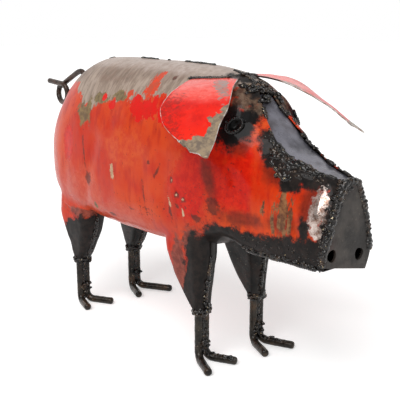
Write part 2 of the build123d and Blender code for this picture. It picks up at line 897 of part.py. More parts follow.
def seam_runs(share_pairs, column):
    """Beads on the seam of the two shells, along the back or under the belly."""
    runs = []
    for start, end in share_pairs:
        points = run_along(
            start * body_length - rump_reach,
            end * body_length - rump_reach,
            bead_pitch,
            lambda x: (x, 0, row_at(x)[column]),
        )
        runs.append(weld_bead(points, fine_bead_radius, (0, 1, 0)))
    return runs[0].fuse(*runs[1:])


def tail_weld(start, end):
    """Collar of weld metal at the root of the tail."""
    low, high = tail_weld_shares
    half = (high - low) / 2
    points = run_along(low, high, half, lambda share: start + (end - start) * share)
    return weld_bead(points, tail_radius + tail_weld_depth, (0, 1, 0))


def ear_weld():
    """Bead along the root of the left ear, on its upper side."""
    points = [(x, y - fine_bead_radius / 2, z) for x, y, z in ear_root_points()]
    return weld_bead(points, fine_bead_radius, upward)


def jaw_weld(side):
    """Bead along one side of the jaw, where the cheek stands on the chin plate."""
    start, end = [share * body_length - rump_reach for share in jaw_weld_shares]

    def place(x):
        reach = side_reach(x, jaw_level(x))
        return (x, nose_shift(x) + side * reach, jaw_level(x) - sheet / 2)

    return weld_bead(run_along(start, end, bead_pitch, place), fine_bead_radius, upward)


def forehead_welds():
    """Tacks across the gap beside the forehead plate, on both sides."""
    places = [row[0] for row in head_shares]
    halves = [row[3] * half_width for row in head_shares]
    heights = [height_at(row[2]) for row in head_shares]
    reach = tack_length / body_length / 2

    def place(share, side):
        x = share * body_length - rump_reach
        out = smooth_at(share, places, halves) + plate_gap / 2
        level = smooth_at(share, places, heights) + cheek_lip / 2
        return (x, nose_shift(x) + side * out, level)

    tacks = []
    for share in forehead_weld_shares:
        for side in (1, -1):
            points = [place(at, side) for at in (share - reach, share, share + reach)]
            tacks.append(weld_bead(points, fine_bead_radius, upward))
    return tacks[0].fuse(*tacks[1:])


def main():
    os.makedirs("parts", exist_ok=True)
    pieces = build_pig()
    box = Compound(children=[Compound(list(p.solids())) for p in pieces.values()]).bounding_box()
    shift = Pos(-box.center().X, 0, 0)
    for name, piece in pieces.items():
        export_step(shift * Compound(list(piece.solids())), "parts/" + name + ".step")
    print("pieces", len(pieces), "box", box.size, "moved along X by", -box.center().X)


main()
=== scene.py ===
import math

import bpy
import numpy as np
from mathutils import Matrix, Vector


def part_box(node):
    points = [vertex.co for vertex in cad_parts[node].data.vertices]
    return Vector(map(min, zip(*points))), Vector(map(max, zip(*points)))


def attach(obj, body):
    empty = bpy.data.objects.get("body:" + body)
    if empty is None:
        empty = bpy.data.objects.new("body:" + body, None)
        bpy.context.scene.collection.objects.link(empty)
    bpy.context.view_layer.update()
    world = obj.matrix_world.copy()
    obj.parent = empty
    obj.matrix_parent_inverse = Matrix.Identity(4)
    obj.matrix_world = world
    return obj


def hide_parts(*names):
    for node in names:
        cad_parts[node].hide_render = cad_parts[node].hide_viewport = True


# A pig welded from worn drum sheet and round bar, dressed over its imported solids.
# Sizes are millimetres from the line of the rear legs, as they are read off the
# solids; placed() turns them into the frame's metres.

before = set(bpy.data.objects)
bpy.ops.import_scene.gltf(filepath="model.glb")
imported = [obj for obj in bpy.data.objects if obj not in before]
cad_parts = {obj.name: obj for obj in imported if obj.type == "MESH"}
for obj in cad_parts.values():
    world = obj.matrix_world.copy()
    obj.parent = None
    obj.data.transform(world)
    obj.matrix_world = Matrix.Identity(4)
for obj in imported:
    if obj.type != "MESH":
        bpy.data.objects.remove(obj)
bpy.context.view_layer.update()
barRadius = 3.175
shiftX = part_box("right_rear_outer_bar")[0].x * 1000 + barRadius


def placed(points):
    return (np.asarray(points, float) + (shiftX, 0, 0)) / 1000


def srgb(colour):
    values = np.array(colour) / 255
    linear = np.where(values <= 0.04045, values / 12.92, ((values + 0.055) / 1.055) ** 2.4)
    return (*linear.tolist(), 1.0)


def eased(value, low, high):
    part = np.clip((np.asarray(value, float) - low) / (high - low), 0, 1)
    return part * part * (3 - 2 * part)


def lumps(points, size, seed=0.0):  # smooth random values from -1 to 1 by place
    spots = np.asarray(points, float) / size
    base = np.floor(spots)
    part = spots - base
    part = part * part * (3 - 2 * part)
    total = np.zeros(spots.shape[:-1])
    for corner in np.ndindex(2, 2, 2):
        cell = base + corner
        value = np.sin(cell @ np.array([12.9898, 78.233, 37.719]) + seed) * 43758.5453
        weight = np.prod(np.where(np.array(corner) == 1, part, 1 - part), axis=-1)
        total += weight * (2 * (value - np.floor(value)) - 1)
    return total


def lumpsAlong(values, size, seed=0.0):
    return lumps(np.stack([values, values * 0, values * 0], 1), size, seed)


def waves(points, rows):  # rows: height, size, seed
    return sum(height * lumps(points, size, seed) for height, size, seed in rows)


def smoothAt(where, places, values):  # smooth curve through values, without overshoot
    places, values = np.asarray(places, float), np.asarray(values, float)
    steps, rises = np.diff(places), np.diff(values) / np.diff(places)
    bends = np.concatenate([rises[:1], np.zeros(len(rises) - 1), rises[-1:]])
    for i in range(1, len(rises)):
        a, b, left, right = steps[i - 1], steps[i], rises[i - 1], rises[i]
        if left * right > 0:
            bends[i] = 3 * (a + b) / ((2 * b + a) / left + (b + 2 * a) / right)
    where = np.asarray(where, float)
    i = np.clip(np.searchsorted(places, where, side="right") - 1, 0, len(steps) - 1)
    t = (where - places[i]) / steps[i]
    start, end = values[i], values[i + 1]
    slope = steps[i] * t * (1 - t) * (bends[i] * (1 - t) - bends[i + 1] * t)
    return start * (1 + 2 * t) * (1 - t) ** 2 + end * t * t * (3 - 2 * t) + slope


def evenLine(points, step):  # smooth line through points, cut into even lengths
    points = np.asarray(points, float)
    if len(points) > 2:
        ends = np.vstack([2 * points[0] - points[1], points, 2 * points[-1] - points[-2]])
        t = np.linspace(0, 1, 24, endpoint=False)[:, None]
        runs = []
        for a, b, c, d in zip(ends, ends[1:], ends[2:], ends[3:]):
            runs.append(0.5 * (2 * b + (c - a) * t + (2 * a - 5 * b + 4 * c - d) * t**2
                               + (3 * b - a - 3 * c + d) * t**3))
        points = np.vstack([*runs, points[-1:]])
    lengths = lengthsAlong(points)
    count = max(2, int(round(lengths[-1] / step)) + 1)
    at = np.linspace(0, lengths[-1], count)
    return np.stack([np.interp(at, lengths, column) for column in points.T], 1), at


def lengthsAlong(points):
    return np.concatenate([[0], np.cumsum(np.linalg.norm(np.diff(points, axis=0), axis=1))])


def gridFaces(rows, columns, offset=0, flip=False, closed=False):
    faces = []
    for i in range(rows - 1):
        for j in range(columns if closed else columns - 1):
            k = (j + 1) % columns
            face = [i * columns + j, i * columns + k, (i + 1) * columns + k, (i + 1) * columns + j]
            face = tuple(offset + v for v in face)
            faces.append(face[::-1] if flip else face)
    return faces


def gridNormals(grid, outward=None):
    along, across = np.gradient(grid, axis=0), np.gradient(grid, axis=1)
    normals = np.cross(along, across)
    normals = normals / np.maximum(np.linalg.norm(normals, axis=-1, keepdims=True), 1e-9)
    if outward is not None and np.sum(normals * outward) < 0:
        normals = -normals
    return normals


def sheetMesh(grid, thickness, outward):  # closed sheet, its outer face on the grid
    rows, columns = grid.shape[:2]
    normals = gridNormals(grid)
    flip = np.sum(normals * outward) < 0
    inner = grid - (-normals if flip else normals) * thickness
    count = rows * columns
    faces = gridFaces(rows, columns, 0, flip) + gridFaces(rows, columns, count, not flip)
    rim = [j for j in range(columns)] + [i * columns + columns - 1 for i in range(1, rows)]
    rim += [(rows - 1) * columns + j for j in range(columns - 2, -1, -1)]
    rim += [i * columns for i in range(rows - 2, 0, -1)]
    for a, b in zip(rim, rim[1:] + rim[:1]):
        face = (a, a + count, b + count, b)
        faces.append(face[::-1] if flip else face)
    return np.vstack([grid.reshape(-1, 3), inner.reshape(-1, 3)]), faces


def tubeMesh(line, radii, sides=14, roughness=0.0, seed=0.0):
    line, radii = np.asarray(line, float), np.asarray(radii, float)
    tangents = np.gradient(line, axis=0)
    tangents /= np.linalg.norm(tangents, axis=1, keepdims=True)
    start = np.array([0, 0, 1.0]) if abs(tangents[0][2]) < 0.9 else np.array([1.0, 0, 0])
    side = np.cross(tangents[0], start)
    sideways = []
    for tangent in tangents:  # carried along the line without twist
        side = side - tangent * (side @ tangent)
        side = side / np.linalg.norm(side)
        sideways.append(side)
    sideways = np.array(sideways)
    upwards = np.cross(tangents, sideways)
    turn = np.linspace(0, 2 * math.pi, sides, endpoint=False)
    spokes = (np.cos(turn)[None, :, None] * sideways[:, None]
              + np.sin(turn)[None, :, None] * upwards[:, None])
    rings = line[:, None] + spokes * radii[:, None, None]
    rings = rings + spokes * (lumps(rings, 1.5, seed) * roughness)[..., None]
    count = len(line) * sides
    points = np.vstack([rings.reshape(-1, 3), line[:1] - tangents[:1] * radii[0] * 0.3,
                        line[-1:] + tangents[-1:] * radii[-1] * 0.3])
    faces = gridFaces(len(line), sides, 0, True, closed=True)
    for j in range(sides):
        k = (j + 1) % sides
        faces.append((j, k, count))
        faces.append((count - sides + k, count - sides + j, count + 1))
    return points, faces


def roundedTube(points, radius, step, rounding, **extra):  # rod with rounded ends
    line, at = evenLine(points, step)
    far = at[-1]
    ease = np.array([0.0, 0.12, 0.3, 0.55, 0.8]) * rounding
    cuts = np.concatenate([ease, at[(at > rounding) & (at < far - rounding)], far - ease[::-1]])
    line = np.stack([np.interp(cuts, at, column) for column in line.T], 1)
    part = 1 - np.clip(np.minimum(cuts, far - cuts) / rounding, 0, 1)
    radii = radius - rounding * (1 - np.sqrt(np.maximum(0, 1 - part**2)))
    return tubeMesh(line, np.maximum(radii, radius * 0.2), **extra)


def weldMesh(points, radius, pitch=1.8, roughness=0.28, seed=0.0, closed=False, sides=10):
    # run of weld metal: rounded ripples with sharp valleys, uneven along its length
    line, at = evenLine([*points, points[0]] if closed else points, pitch / 5)
    wander = lumpsAlong(at, 5.0, seed)
    ripple = 0.78 + 0.22 * np.abs(np.sin(math.pi * (at / pitch + 0.4 * wander)))
    fromEnd = np.minimum(at, at[-1] - at) / radius
    ends = 1.0 if closed else np.sqrt(1 - np.clip(1 - fromEnd, 0, 0.93) ** 2)
    radii = radius * ripple * (1 + 0.16 * wander) * ends
    return tubeMesh(line, radii, sides=sides, roughness=roughness * radius * 0.5, seed=seed)


def joined(parts):
    points, faces, offset = [], [], 0
    for some, few in parts:
        points.append(some)
        faces += [tuple(offset + v for v in face) for face in few]
        offset += len(some)
    return np.vstack(points), faces


def addPiece(spec, mesh, masks=None, smooth=True):
    points, faces = mesh
    data = bpy.data.meshes.new(spec["name"])
    data.from_pydata(placed(points).tolist(), [], faces)
    data.validate()
    data.update()
    if smooth:
        data.polygons.foreach_set("use_smooth", [True] * len(data.polygons))
    for name, values in (masks or {}).items():
        layer = data.attributes.new(name, "FLOAT", "POINT")
        layer.data.foreach_set("value", np.asarray(values, np.float32))
    piece = bpy.data.objects.new(spec["name"], data)
    bpy.context.scene.collection.objects.link(piece)
    data.materials.append(spec["finish"])
    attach(piece, "root")
    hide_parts(*spec["nodes"])


def addNode(tree, kind, **values):
    node = tree.nodes.new(kind)
    for key, value in values.items():
        setattr(node, key, value)
    return node


def feed(tree, socket, value):
    if isinstance(value, bpy.types.NodeSocket):
        tree.links.new(value, socket)
    else:
        socket.default_value = value


def calc(tree, operation, first, second=0.0):
    node = addNode(tree, "ShaderNodeMath", operation=operation)
    feed(tree, node.inputs[0], first)
    feed(tree, node.inputs[1], second)
    return node.outputs[0]


def times(tree, first, second):
    return calc(tree, "MULTIPLY", first, second)


def blendColour(tree, factor, first, second):
    node = addNode(tree, "ShaderNodeMix", data_type="RGBA")
    for index, value in ((0, factor), (6, first), (7, second)):
        feed(tree, node.inputs[index], value)
    return node.outputs[2]


def blendNumber(tree, factor, first, second):
    node = addNode(tree, "ShaderNodeMix", data_type="FLOAT")
    for index, value in ((0, factor), (2, first), (3, second)):
        feed(tree, node.inputs[index], value)
    return node.outputs[0]


def stepAt(tree, value, low, high, start=0.0, end=1.0):
    node = addNode(tree, "ShaderNodeMapRange", interpolation_type="SMOOTHSTEP")
    for index, number in enumerate((value, low, high, start, end)):
        feed(tree, node.inputs[index], number)
    return node.outputs[0]


def grain(tree, size, detail=4.0, rough=0.6, stretch=None, seed=0.0):
    # noise whose features are about so many millimetres wide
    mapping = addNode(tree, "ShaderNodeMapping")
    feed(tree, mapping.inputs[0], addNode(tree, "ShaderNodeTexCoord").outputs["Object"])
    mapping.inputs[1].default_value = (seed, seed * 0.7, -seed)
    mapping.inputs[3].default_value = stretch or (1, 1, 1)
    node = addNode(tree, "ShaderNodeTexNoise")
    feed(tree, node.inputs["Vector"], mapping.outputs[0])
    feed(tree, node.inputs["Scale"], 1000 / size)
    feed(tree, node.inputs["Detail"], detail)
    feed(tree, node.inputs["Roughness"], rough)
    return node.outputs[0]


def startFinish(spec, specular):
    finish = bpy.data.materials.new(spec["name"])
    finish.use_nodes = True
    tree = finish.node_tree
    shader = tree.nodes["Principled BSDF"]
    shader.inputs["Coat Weight"].default_value = spec["coat"]
    shader.inputs["Coat Roughness"].default_value = spec.get("coatRoughness", 0.12)
    shader.inputs["Specular IOR Level"].default_value = specular
    return finish, tree, shader


def addBump(tree, shader, height, strength, distance=0.0006):
    node = addNode(tree, "ShaderNodeBump")
    feed(tree, node.inputs["Strength"], strength)
    feed(tree, node.inputs["Distance"], distance)
    feed(tree, node.inputs["Height"], height)
    feed(tree, shader.inputs["Normal"], node.outputs[0])


def metalFinish(spec):  # one metal in two tones, with grain, grime, painted glints of highlight and fine relief
    finish, tree, shader = startFinish(spec, 0.18)
    tones = stepAt(tree, grain(tree, spec["patchSize"], 5.0, 0.65), 0.38, 0.62)
    colour = blendColour(tree, tones, srgb(spec["dark"]), srgb(spec["light"]))
    tint = stepAt(tree, grain(tree, spec["patchSize"] * 1.7, 3.0, seed=3.0), 0.50, 0.66)
    colour = blendColour(tree, times(tree, tint, spec["tintAmount"]), colour, srgb(spec["tint"]))
    # pale specks: painted glints of highlight
    paintedGlints = stepAt(tree, grain(tree, 1.6, 2.0, seed=5.0), 0.66, 0.72)
    colour = blendColour(tree, times(tree, paintedGlints, spec["paintedGlints"]), colour,
                         srgb(spec.get("paintedGlintColour", (196, 178, 150))))
    feed(tree, shader.inputs["Base Color"], colour)
    rough = stepAt(tree, grain(tree, 5.0, 4.0, seed=8.0), 0.3, 0.7,
                   spec["rough"] - 0.1, spec["rough"] + 0.12)
    feed(tree, shader.inputs["Roughness"], rough)
    shader.inputs["Metallic"].default_value = spec["metal"]
    relief = calc(tree, "ADD", times(tree, grain(tree, 3.2, 6.0), 0.7),
                  times(tree, grain(tree, 0.9, 3.0, seed=2.0), 0.3))
    addBump(tree, shader, relief, spec["relief"])
    return finish


def paintFinish(spec):  # worn paint: layers laid one over another by ragged masks
    finish, tree, shader = startFinish(spec, 0.1)
    cloud = grain(tree, 34.0, 4.0, 0.55)
    fine = grain(tree, 5.0, 6.0, 0.7)
    streaks = grain(tree, 7.0, 5.0, 0.6, stretch=(1.0, 1.0, 0.25), seed=4.0)
    scuffs = grain(tree, 3.5, 6.0, 0.75, stretch=(1.0, 0.4, 0.4), seed=6.5)
    colour = blendColour(tree, stepAt(tree, cloud, 0.35, 0.65), srgb(spec["base"]),
                         srgb(spec["baseLight"]))
    colour = blendColour(tree, stepAt(tree, streaks, 0.48, 0.66, 0.0, 0.55), colour,
                         srgb(spec["streak"]))
    colour = blendColour(tree, stepAt(tree, scuffs, 0.56, 0.68, 0.0, 0.5), colour,
                         srgb(spec["scuff"]))
    roughness, metal, relief = 0.30, 0.0, times(tree, fine, 0.25)
    for index, layer in enumerate(spec["layers"]):
        raggedness, raggedSize, softness = layer["edge"]
        mask = addNode(tree, "ShaderNodeAttribute", attribute_name=layer["mask"]).outputs["Fac"]
        ragged = grain(tree, raggedSize, 6.0, 0.68, layer.get("stretch"), seed=1.3 * index)
        ragged = times(tree, calc(tree, "SUBTRACT", ragged, 0.5), raggedness)
        # the noise counts only where the mask itself begins, and less where it is whole
        present = times(tree, stepAt(tree, mask, 0.0, 0.2), stepAt(tree, mask, 0.7, 1.0, 1.0, 0.35))
        value = calc(tree, "ADD", mask, times(tree, ragged, present))
        cover = stepAt(tree, value, 0.5 - softness, 0.5 + softness, 0.0, layer.get("strength", 1.0))
        within = fine
        if "grain" in layer:
            within = grain(tree, layer["grain"], 5.0, 0.65, (1.0, 0.2, 0.2), seed=7.0)
        tone = blendColour(tree, stepAt(tree, within, 0.38, 0.62),
                           *[srgb(colour) for colour in layer["colours"]])
        colour = blendColour(tree, cover, colour, tone)
        roughness = blendNumber(tree, cover, roughness, layer["rough"])
        metal = blendNumber(tree, cover, metal, layer.get("metal", 0.0))
        if "height" in layer:
            relief = calc(tree, "ADD", relief, times(tree, cover, layer["height"]))
    specks = stepAt(tree, grain(tree, 2.4, 3.0, 0.6, seed=9.0), 0.66, 0.72, 0.0, spec["specks"])
    colour = blendColour(tree, specks, colour, srgb(spec["speck"]))
    feed(tree, shader.inputs["Base Color"], colour)
    feed(tree, shader.inputs["Roughness"], roughness)
    feed(tree, shader.inputs["Metallic"], metal)
    addBump(tree, shader, relief, spec["relief"], 0.0008)
    return finish


def patchMask(along, up, patches):  # soft ellipses: place, height, half sizes, tilt
    mask = np.zeros(np.shape(along))
    for x, z, wide, tall, tilt in patches:
        turn = math.radians(tilt)
        a = (along - x) * math.cos(turn) + (up - z) * math.sin(turn)
        b = (up - z) * math.cos(turn) - (along - x) * math.sin(turn)
        far = np.sqrt((a / wide) ** 2 + (b / tall) ** 2)
        mask = np.maximum(mask, 1 - eased(far, 0.25, 1.75))
    return mask


def edgeMask(along, up, line, spread):  # from 0 to 1 across a boundary line, 1 above it
    line = np.array(line, float)
    return eased(up - np.interp(along, line[:, 0], line[:, 1]), -spread, spread)


body = {
    "length": 330.0, "halfWidth": 49.0, "back": 223.4, "belly": 85.5, "rumpReach": 46.0,
    "taper": 86.0, "sheet": 1.0, "seam": 0.15, "plateGap": 0.7, "cheekLip": 1.2,
    "jaw": 102.0, "jawRise": 2.3, "noseShift": 2.5, "neck": 0.715, "chinStart": 0.765,
    # how squarely the rump closes in plan, above and below; its widest height and roof
    "rumpPlan": 2.85, "rumpUpper": 2.3, "rumpLower": 3.2, "rumpWidest": 0.37, "rumpRoof": 1.8,
    # closeness of the mesh; the columns of the rump bunch up to its pole
    "columnStep": 1.25, "rows": 124, "samples": 420, "rumpColumns": 66,
    "rumpTurn": (math.pi / 2 - 0.0006, 0.3),
    # place, half width, top, bottom, widest height, roundness above and below
    "trunk": [
        (0.260, 0.990, 0.998, 0.004, 0.465, 2.20, 3.6),
        (0.365, 1.000, 1.000, 0.000, 0.465, 2.20, 3.6),
        (0.470, 0.990, 1.000, 0.002, 0.465, 2.20, 3.6),
        (0.565, 0.970, 0.998, 0.012, 0.465, 2.20, 3.5),
        (0.650, 0.940, 0.980, 0.040, 0.465, 2.20, 3.3),
        (0.703, 0.900, 0.950, 0.082, 0.455, 2.25, 3.2),
        (0.733, 0.865, 0.912, 0.109, 0.430, 2.30, 3.2),
    ],
    # place, half width, forehead plate's height and half width, then as above
    "head": [
        (0.755, 0.810, 0.877, 0.100, 0.098, 0.417, 2.30, 3.2),
        (0.779, 0.745, 0.800, 0.166, 0.076, 0.395, 2.25, 3.2),
        (0.809, 0.675, 0.725, 0.235, 0.062, 0.359, 2.15, 3.2),
        (0.839, 0.620, 0.654, 0.270, 0.052, 0.330, 2.05, 3.2),
        (0.870, 0.585, 0.610, 0.268, 0.044, 0.301, 1.95, 3.1),
        (0.915, 0.540, 0.566, 0.225, 0.038, 0.265, 1.82, 3.0),
        (0.958, 0.508, 0.540, 0.165, 0.034, 0.236, 1.62, 3.0),
        (1.000, 0.470, 0.522, 0.120, 0.030, 0.196, 1.40, 3.0),
        (1.030, 0.455, 0.516, 0.110, 0.028, 0.186, 1.36, 3.0),
    ],
    # creases and dents: from place and height, to place and height, half width, depth
    "dents": [
        (57, 160, 28, 90, 7.0, 1.1), (150, 200, 146, 120, 9.0, 0.7),
        (96, 185, 88, 120, 12.0, -0.5), (205, 165, 222, 128, 6.0, 0.9),
        (252, 150, 262, 122, 4.0, 0.8), (10, 150, 4, 110, 8.0, 0.6),
        (120, 150, 126, 100, 8.0, 0.5),
    ],
    # place, height, half sizes, rise
    "bulges": [(275.5, 138, 5.0, 12, 3.0), (262, 118, 7, 6, 0.9), (236, 124, 8, 8, 0.7),
               (226, 177, 7, 5, 1.3), (238, 167, 8, 5, 1.5), (252, 159, 9, 4, 1.4)],
    "dimples": 0.42, "dimpleWaves": [(0.35, 6.5, 2.0), (0.12, 2.6, 3.0)],
}


def alongAt(share):
    return share * body["length"] - body["rumpReach"]


def heightAt(share):
    return body["belly"] + (body["back"] - body["belly"]) * share


def keyTable():
    rows = []
    for place, half, top, bottom, widest, upper, lower in body["trunk"]:
        rows.append((alongAt(place), half * body["halfWidth"], heightAt(top), heightAt(bottom),
                     heightAt(widest), upper, lower))
    for place, half, bridge, bridgeShare, bottom, widest, upper, lower in body["head"]:
        half = half * body["halfWidth"]
        opening = (bridgeShare * body["halfWidth"] + body["plateGap"]) / half
        edge, middle = heightAt(bridge) + body["cheekLip"], heightAt(widest)
        top = middle + (edge - middle) / (1 - opening**upper) ** (1 / upper)
        rows.append((alongAt(place), half, top, heightAt(bottom), middle, upper, lower))
    return np.array(rows)


snoutX = body["length"] - body["rumpReach"]
keys = keyTable()
headTable = np.array(body["head"])
headPlaces = alongAt(headTable[:, 0])


def sectionAt(x):  # half width, top, bottom, widest height and roundness at places x
    x = np.asarray(x, float)
    values = [smoothAt(np.maximum(x, keys[0, 0]), keys[:, 0], column) for column in keys.T[1:]]
    half, top, bottom, widest, upper, lower = values
    closed = np.clip((keys[0, 0] - x) / body["taper"], 0, 0.9999999)
    plan, above, below = [(1 - closed**body[key]) ** (1 / body[key])
                          for key in ("rumpPlan", "rumpUpper", "rumpLower")]
    middle = widest + (heightAt(body["rumpWidest"]) - widest) * closed
    roof = upper + (body["rumpRoof"] - upper) * np.sqrt(closed)
    return (half * plan, middle + (top - middle) * above, middle + (bottom - middle) * below,
            middle, roof, lower)


def sideReach(x, z):  # how far out the flank stands
    half, top, bottom, widest, upper, lower = sectionAt(x)
    above = z > widest
    rise = np.where(above, (z - widest) / (top - widest), (widest - z) / (widest - bottom))
    power = np.where(above, upper, lower)
    return half * np.maximum(0, 1 - np.clip(rise, 0, 1) ** power) ** (1 / power)


def roofHeight(x, y):
    half, top, _, widest, upper, _ = sectionAt(x)
    share = np.clip(np.abs(y) / half, 0, 1)
    return widest + (top - widest) * (1 - share**upper) ** (1 / upper)


def noseShift(x):
    return -body["noseShift"] * eased(x, alongAt(body["neck"]), snoutX)


def jawLevel(x):
    return body["jaw"] + (x - snoutX) * math.tan(math.radians(body["jawRise"]))


def bridgeHalf(x):
    halves = headTable[:, 3] * body["halfWidth"]
    return smoothAt(np.maximum(x, headPlaces[0]), headPlaces, halves)


def bridgeHeight(x):
    return smoothAt(x, headPlaces, heightAt(headTable[:, 2]))


legs = {
    "right_rear": {"place": (0.0, -28.5), "toes": ((3.3, 1.0), (3.4, 2.1))},
    "left_rear": {"place": (0.0, 28.5), "toes": ((4.6, 2.9), (3.8, 1.5))},
    "right_front": {"place": (167.0, -27.3), "toes": ((3.8, 1.8), (3.5, 1.9))},
    "left_front": {"place": (170.0, 27.3), "toes": ((4.2, 1.9), (3.8, 1.6))},
}
cone = {
    "foot": 42.0, "height": 72.0, "length": 52.0, "width": 27.0, "rows": 48, "columns": 44,
    # height, length, width, set back, corner radius
    "rear": [(0.0, 0.166, 0.559, 0.0, 0.48), (0.090, 0.320, 0.570, 0.030, 0.30),
             (0.220, 0.500, 0.650, 0.050, 0.36), (0.440, 0.800, 0.830, 0.060, 0.42),
             (0.640, 0.940, 0.920, 0.050, 0.44), (1.000, 0.900, 0.900, 0.080, 0.46)],
    "front": [(0.0, 0.166, 0.559, 0.0, 0.48), (0.090, 0.300, 0.560, -0.060, 0.30),
              (0.220, 0.480, 0.630, -0.130, 0.36), (0.440, 0.720, 0.770, -0.200, 0.42),
              (0.640, 0.880, 0.880, -0.240, 0.44), (1.000, 0.940, 0.940, -0.280, 0.46)],
    "waves": [(0.35, 11, 5.0), (0.18, 4.5, 6.0)], "tuck": 0.5, "tuckHeights": (84, 91),
    # where the flank swells over a leg: heights, then distances out and up, and the blend
    "swellHeights": (60, 112), "swellOut": (22, 34), "swellUp": (104, 126), "swellBlend": 3.0,
}


def coneAt(name, z):  # middle, half length, half width and corner radius of a leg
    rows = np.array(cone["rear" if "rear" in name else "front"])
    rise = (np.asarray(z, float) - cone["foot"]) / cone["height"]
    length, width, back, corner = [smoothAt(rise, rows[:, 0], column) for column in rows.T[1:]]
    half, wide = length * cone["length"] / 2, width * cone["width"] / 2
    middle = legs[name]["place"][0] + back * cone["length"]
    return middle, half, wide, corner * 2 * np.minimum(half, wide)


def coneReach(name, x, z):  # how far out a leg's outer side stands at a place
    middle, half, wide, _ = coneAt(name, np.clip(z, *cone["swellHeights"]))
    off = np.clip(np.abs(x - middle) / half, 0, 1)
    reach = wide * (1 - off**3.0) ** (1 / 3.0)
    return np.where(off < 1, abs(legs[name]["place"][1]) + reach, -50.0)


def softMax(a, b, blend):
    h = np.clip(0.5 + 0.5 * (a - b) / blend, 0, 1)
    return b + (a - b) * h + blend * h * (1 - h)


eye = {
    "slot": "weld_metal", "place": (205.1, 187.0), "radius": 5.0, "tall": 1.08, "bead": 1.5,
    "socket": (1.5, 4.8), "depth": 3.4,
    # near black, darker than the weld metal: partly painted shade of the ear's shadow over the eye
    "finish": metalFinish({
        "name": "eyeBlack", "dark": (8, 8, 8), "light": (20, 18, 18), "tint": (30, 24, 22),
        "tintAmount": 0.4, "paintedGlints": 0.12, "patchSize": 5, "rough": 0.3, "metal": 0.2,
        "coat": 0.3, "relief": 0.5,
    }),
}


def shellGrid(side):
    turn = np.linspace(*body["rumpTurn"], body["rumpColumns"])
    bunched = keys[0, 0] - body["taper"] * np.sin(turn)
    ahead = np.arange(bunched[-1] + body["columnStep"], snoutX - 0.01, body["columnStep"])
    places = np.concatenate([bunched, ahead, [snoutX - 0.1]])
    half, top, bottom, widest, upper, lower = sectionAt(places)
    opens = eased(places, headPlaces[0] - 3, headPlaces[0] + 1)
    openHalf = np.maximum((bridgeHalf(places) + body["plateGap"]) * opens, body["seam"])
    jaw, chinX = jawLevel(places), alongAt(body["chinStart"])
    columns = []
    for i, x in enumerate(places):
        first = math.asin(min(1, (openHalf[i] / half[i])) ** (upper[i] / 2))
        last = math.pi - math.asin((body["seam"] / half[i]) ** (lower[i] / 2))
        if x > chinX - 3:  # the chin plate closes the head from here on
            share = (widest[i] - jaw[i]) / (widest[i] - bottom[i])
            cut = math.pi - math.acos(min(1, share) ** (lower[i] / 2))
            last = last + (cut - last) * float(eased(x, chinX - 3, chinX))
        angle = np.linspace(first, last, body["samples"])
        above = angle < math.pi / 2
        power = np.where(above, upper[i], lower[i])
        y = half[i] * np.abs(np.sin(angle)) ** (2 / power)
        reach = np.where(above, top[i] - widest[i], bottom[i] - widest[i])
        z = widest[i] + reach * np.abs(np.cos(angle)) ** (2 / power)
        lengths = np.concatenate([[0], np.cumsum(np.hypot(np.diff(y), np.diff(z)))])
        at = np.linspace(0, lengths[-1], body["rows"])
        columns.append(np.stack([np.full(body["rows"], x), np.interp(at, lengths, y),
                                 np.interp(at, lengths, z)], 1))
    grid = np.array(columns)
    x, y, z = grid[..., 0], grid[..., 1], grid[..., 2]
    for name in legs:  # the flank swells over the tops of the legs
        if name.startswith(side):
            over = coneReach(name, x, z)
            weight = (eased(y, *cone["swellOut"]) * (1 - eased(z, *cone["swellUp"]))
                      * eased(over, 0, 20))
            y = y + (softMax(y, over, cone["swellBlend"]) - y) * weight
    grid = np.stack([x, y, z], -1)
    normals = gridNormals(grid, (0, 1, 0))
    push = body["dimples"] * waves(grid, [(0.6, 15, 1.0 + len(side)), *body["dimpleWaves"]])
    for x0, z0, x1, z1, width, depth in body["dents"]:
        dx, dz = x1 - x0, z1 - z0
        part = np.clip(((x - x0) * dx + (z - z0) * dz) / (dx * dx + dz * dz), 0, 1)
        far = np.hypot(x - x0 - part * dx, z - z0 - part * dz)
        push = push - depth * np.exp(-((far / width) ** 2)) * eased(y, 8, 20)
    eyeFar = np.hypot(x - eye["place"][0], z - eye["place"][1])
    push = push - eye["depth"] * (1 - eased(eyeFar, *eye["socket"])) * eased(y, 8, 20)
    for bx, bz, wide, tall, rise in body["bulges"]:
        far = ((x - bx) / wide) ** 2 + ((z - bz) / tall) ** 2
        push = push + rise * np.exp(-far) * eased(y, 8, 16)
    grid = grid + normals * (push * eased(y, 0.5, 5))[..., None]
    grid[..., 1] = np.maximum(grid[..., 1], body["seam"])
    grid[..., 1] = grid[..., 1] * (1 if side == "left" else -1) + noseShift(x)
    return grid


def coneGrid(name, outer, top):  # the outer or the inner half of a leg
    y0, count = legs[name]["place"][1], cone["columns"]
    outward = (1 if y0 > 0 else -1) * (1 if outer else -1)
    columns = []
    for z in np.linspace(cone["foot"], top, cone["rows"]):
        middle, half, wide, corner = [float(v) for v in coneAt(name, z)]
        corner = min(corner, half * 0.98, wide * 0.98)
        arc = [(half - corner + corner * math.cos(t), wide - corner + corner * math.sin(t))
               for t in np.linspace(0, math.pi / 2, 14)]
        outline = [(half, body["seam"]), *arc, *[(-x, y) for x, y in reversed(arc)]]
        outline = np.array([*outline, (-half, body["seam"])])
        lengths = np.concatenate([[0], np.cumsum(np.hypot(*np.diff(outline, axis=0).T))])
        at = np.linspace(0, lengths[-1], count)
        x, y = [np.interp(at, lengths, column) for column in outline.T]
        columns.append(np.stack([middle + x, y0 + outward * y, np.full(count, z)], 1))
    grid = np.array(columns)
    tuck = cone["tuck"] * eased(grid[..., 2], *cone["tuckHeights"]) if outer else 0
    push = waves(grid, cone["waves"]) * eased(grid[..., 2], 42, 50) - tuck
    return grid + gridNormals(grid, (0, outward, 0)) * push[..., None]


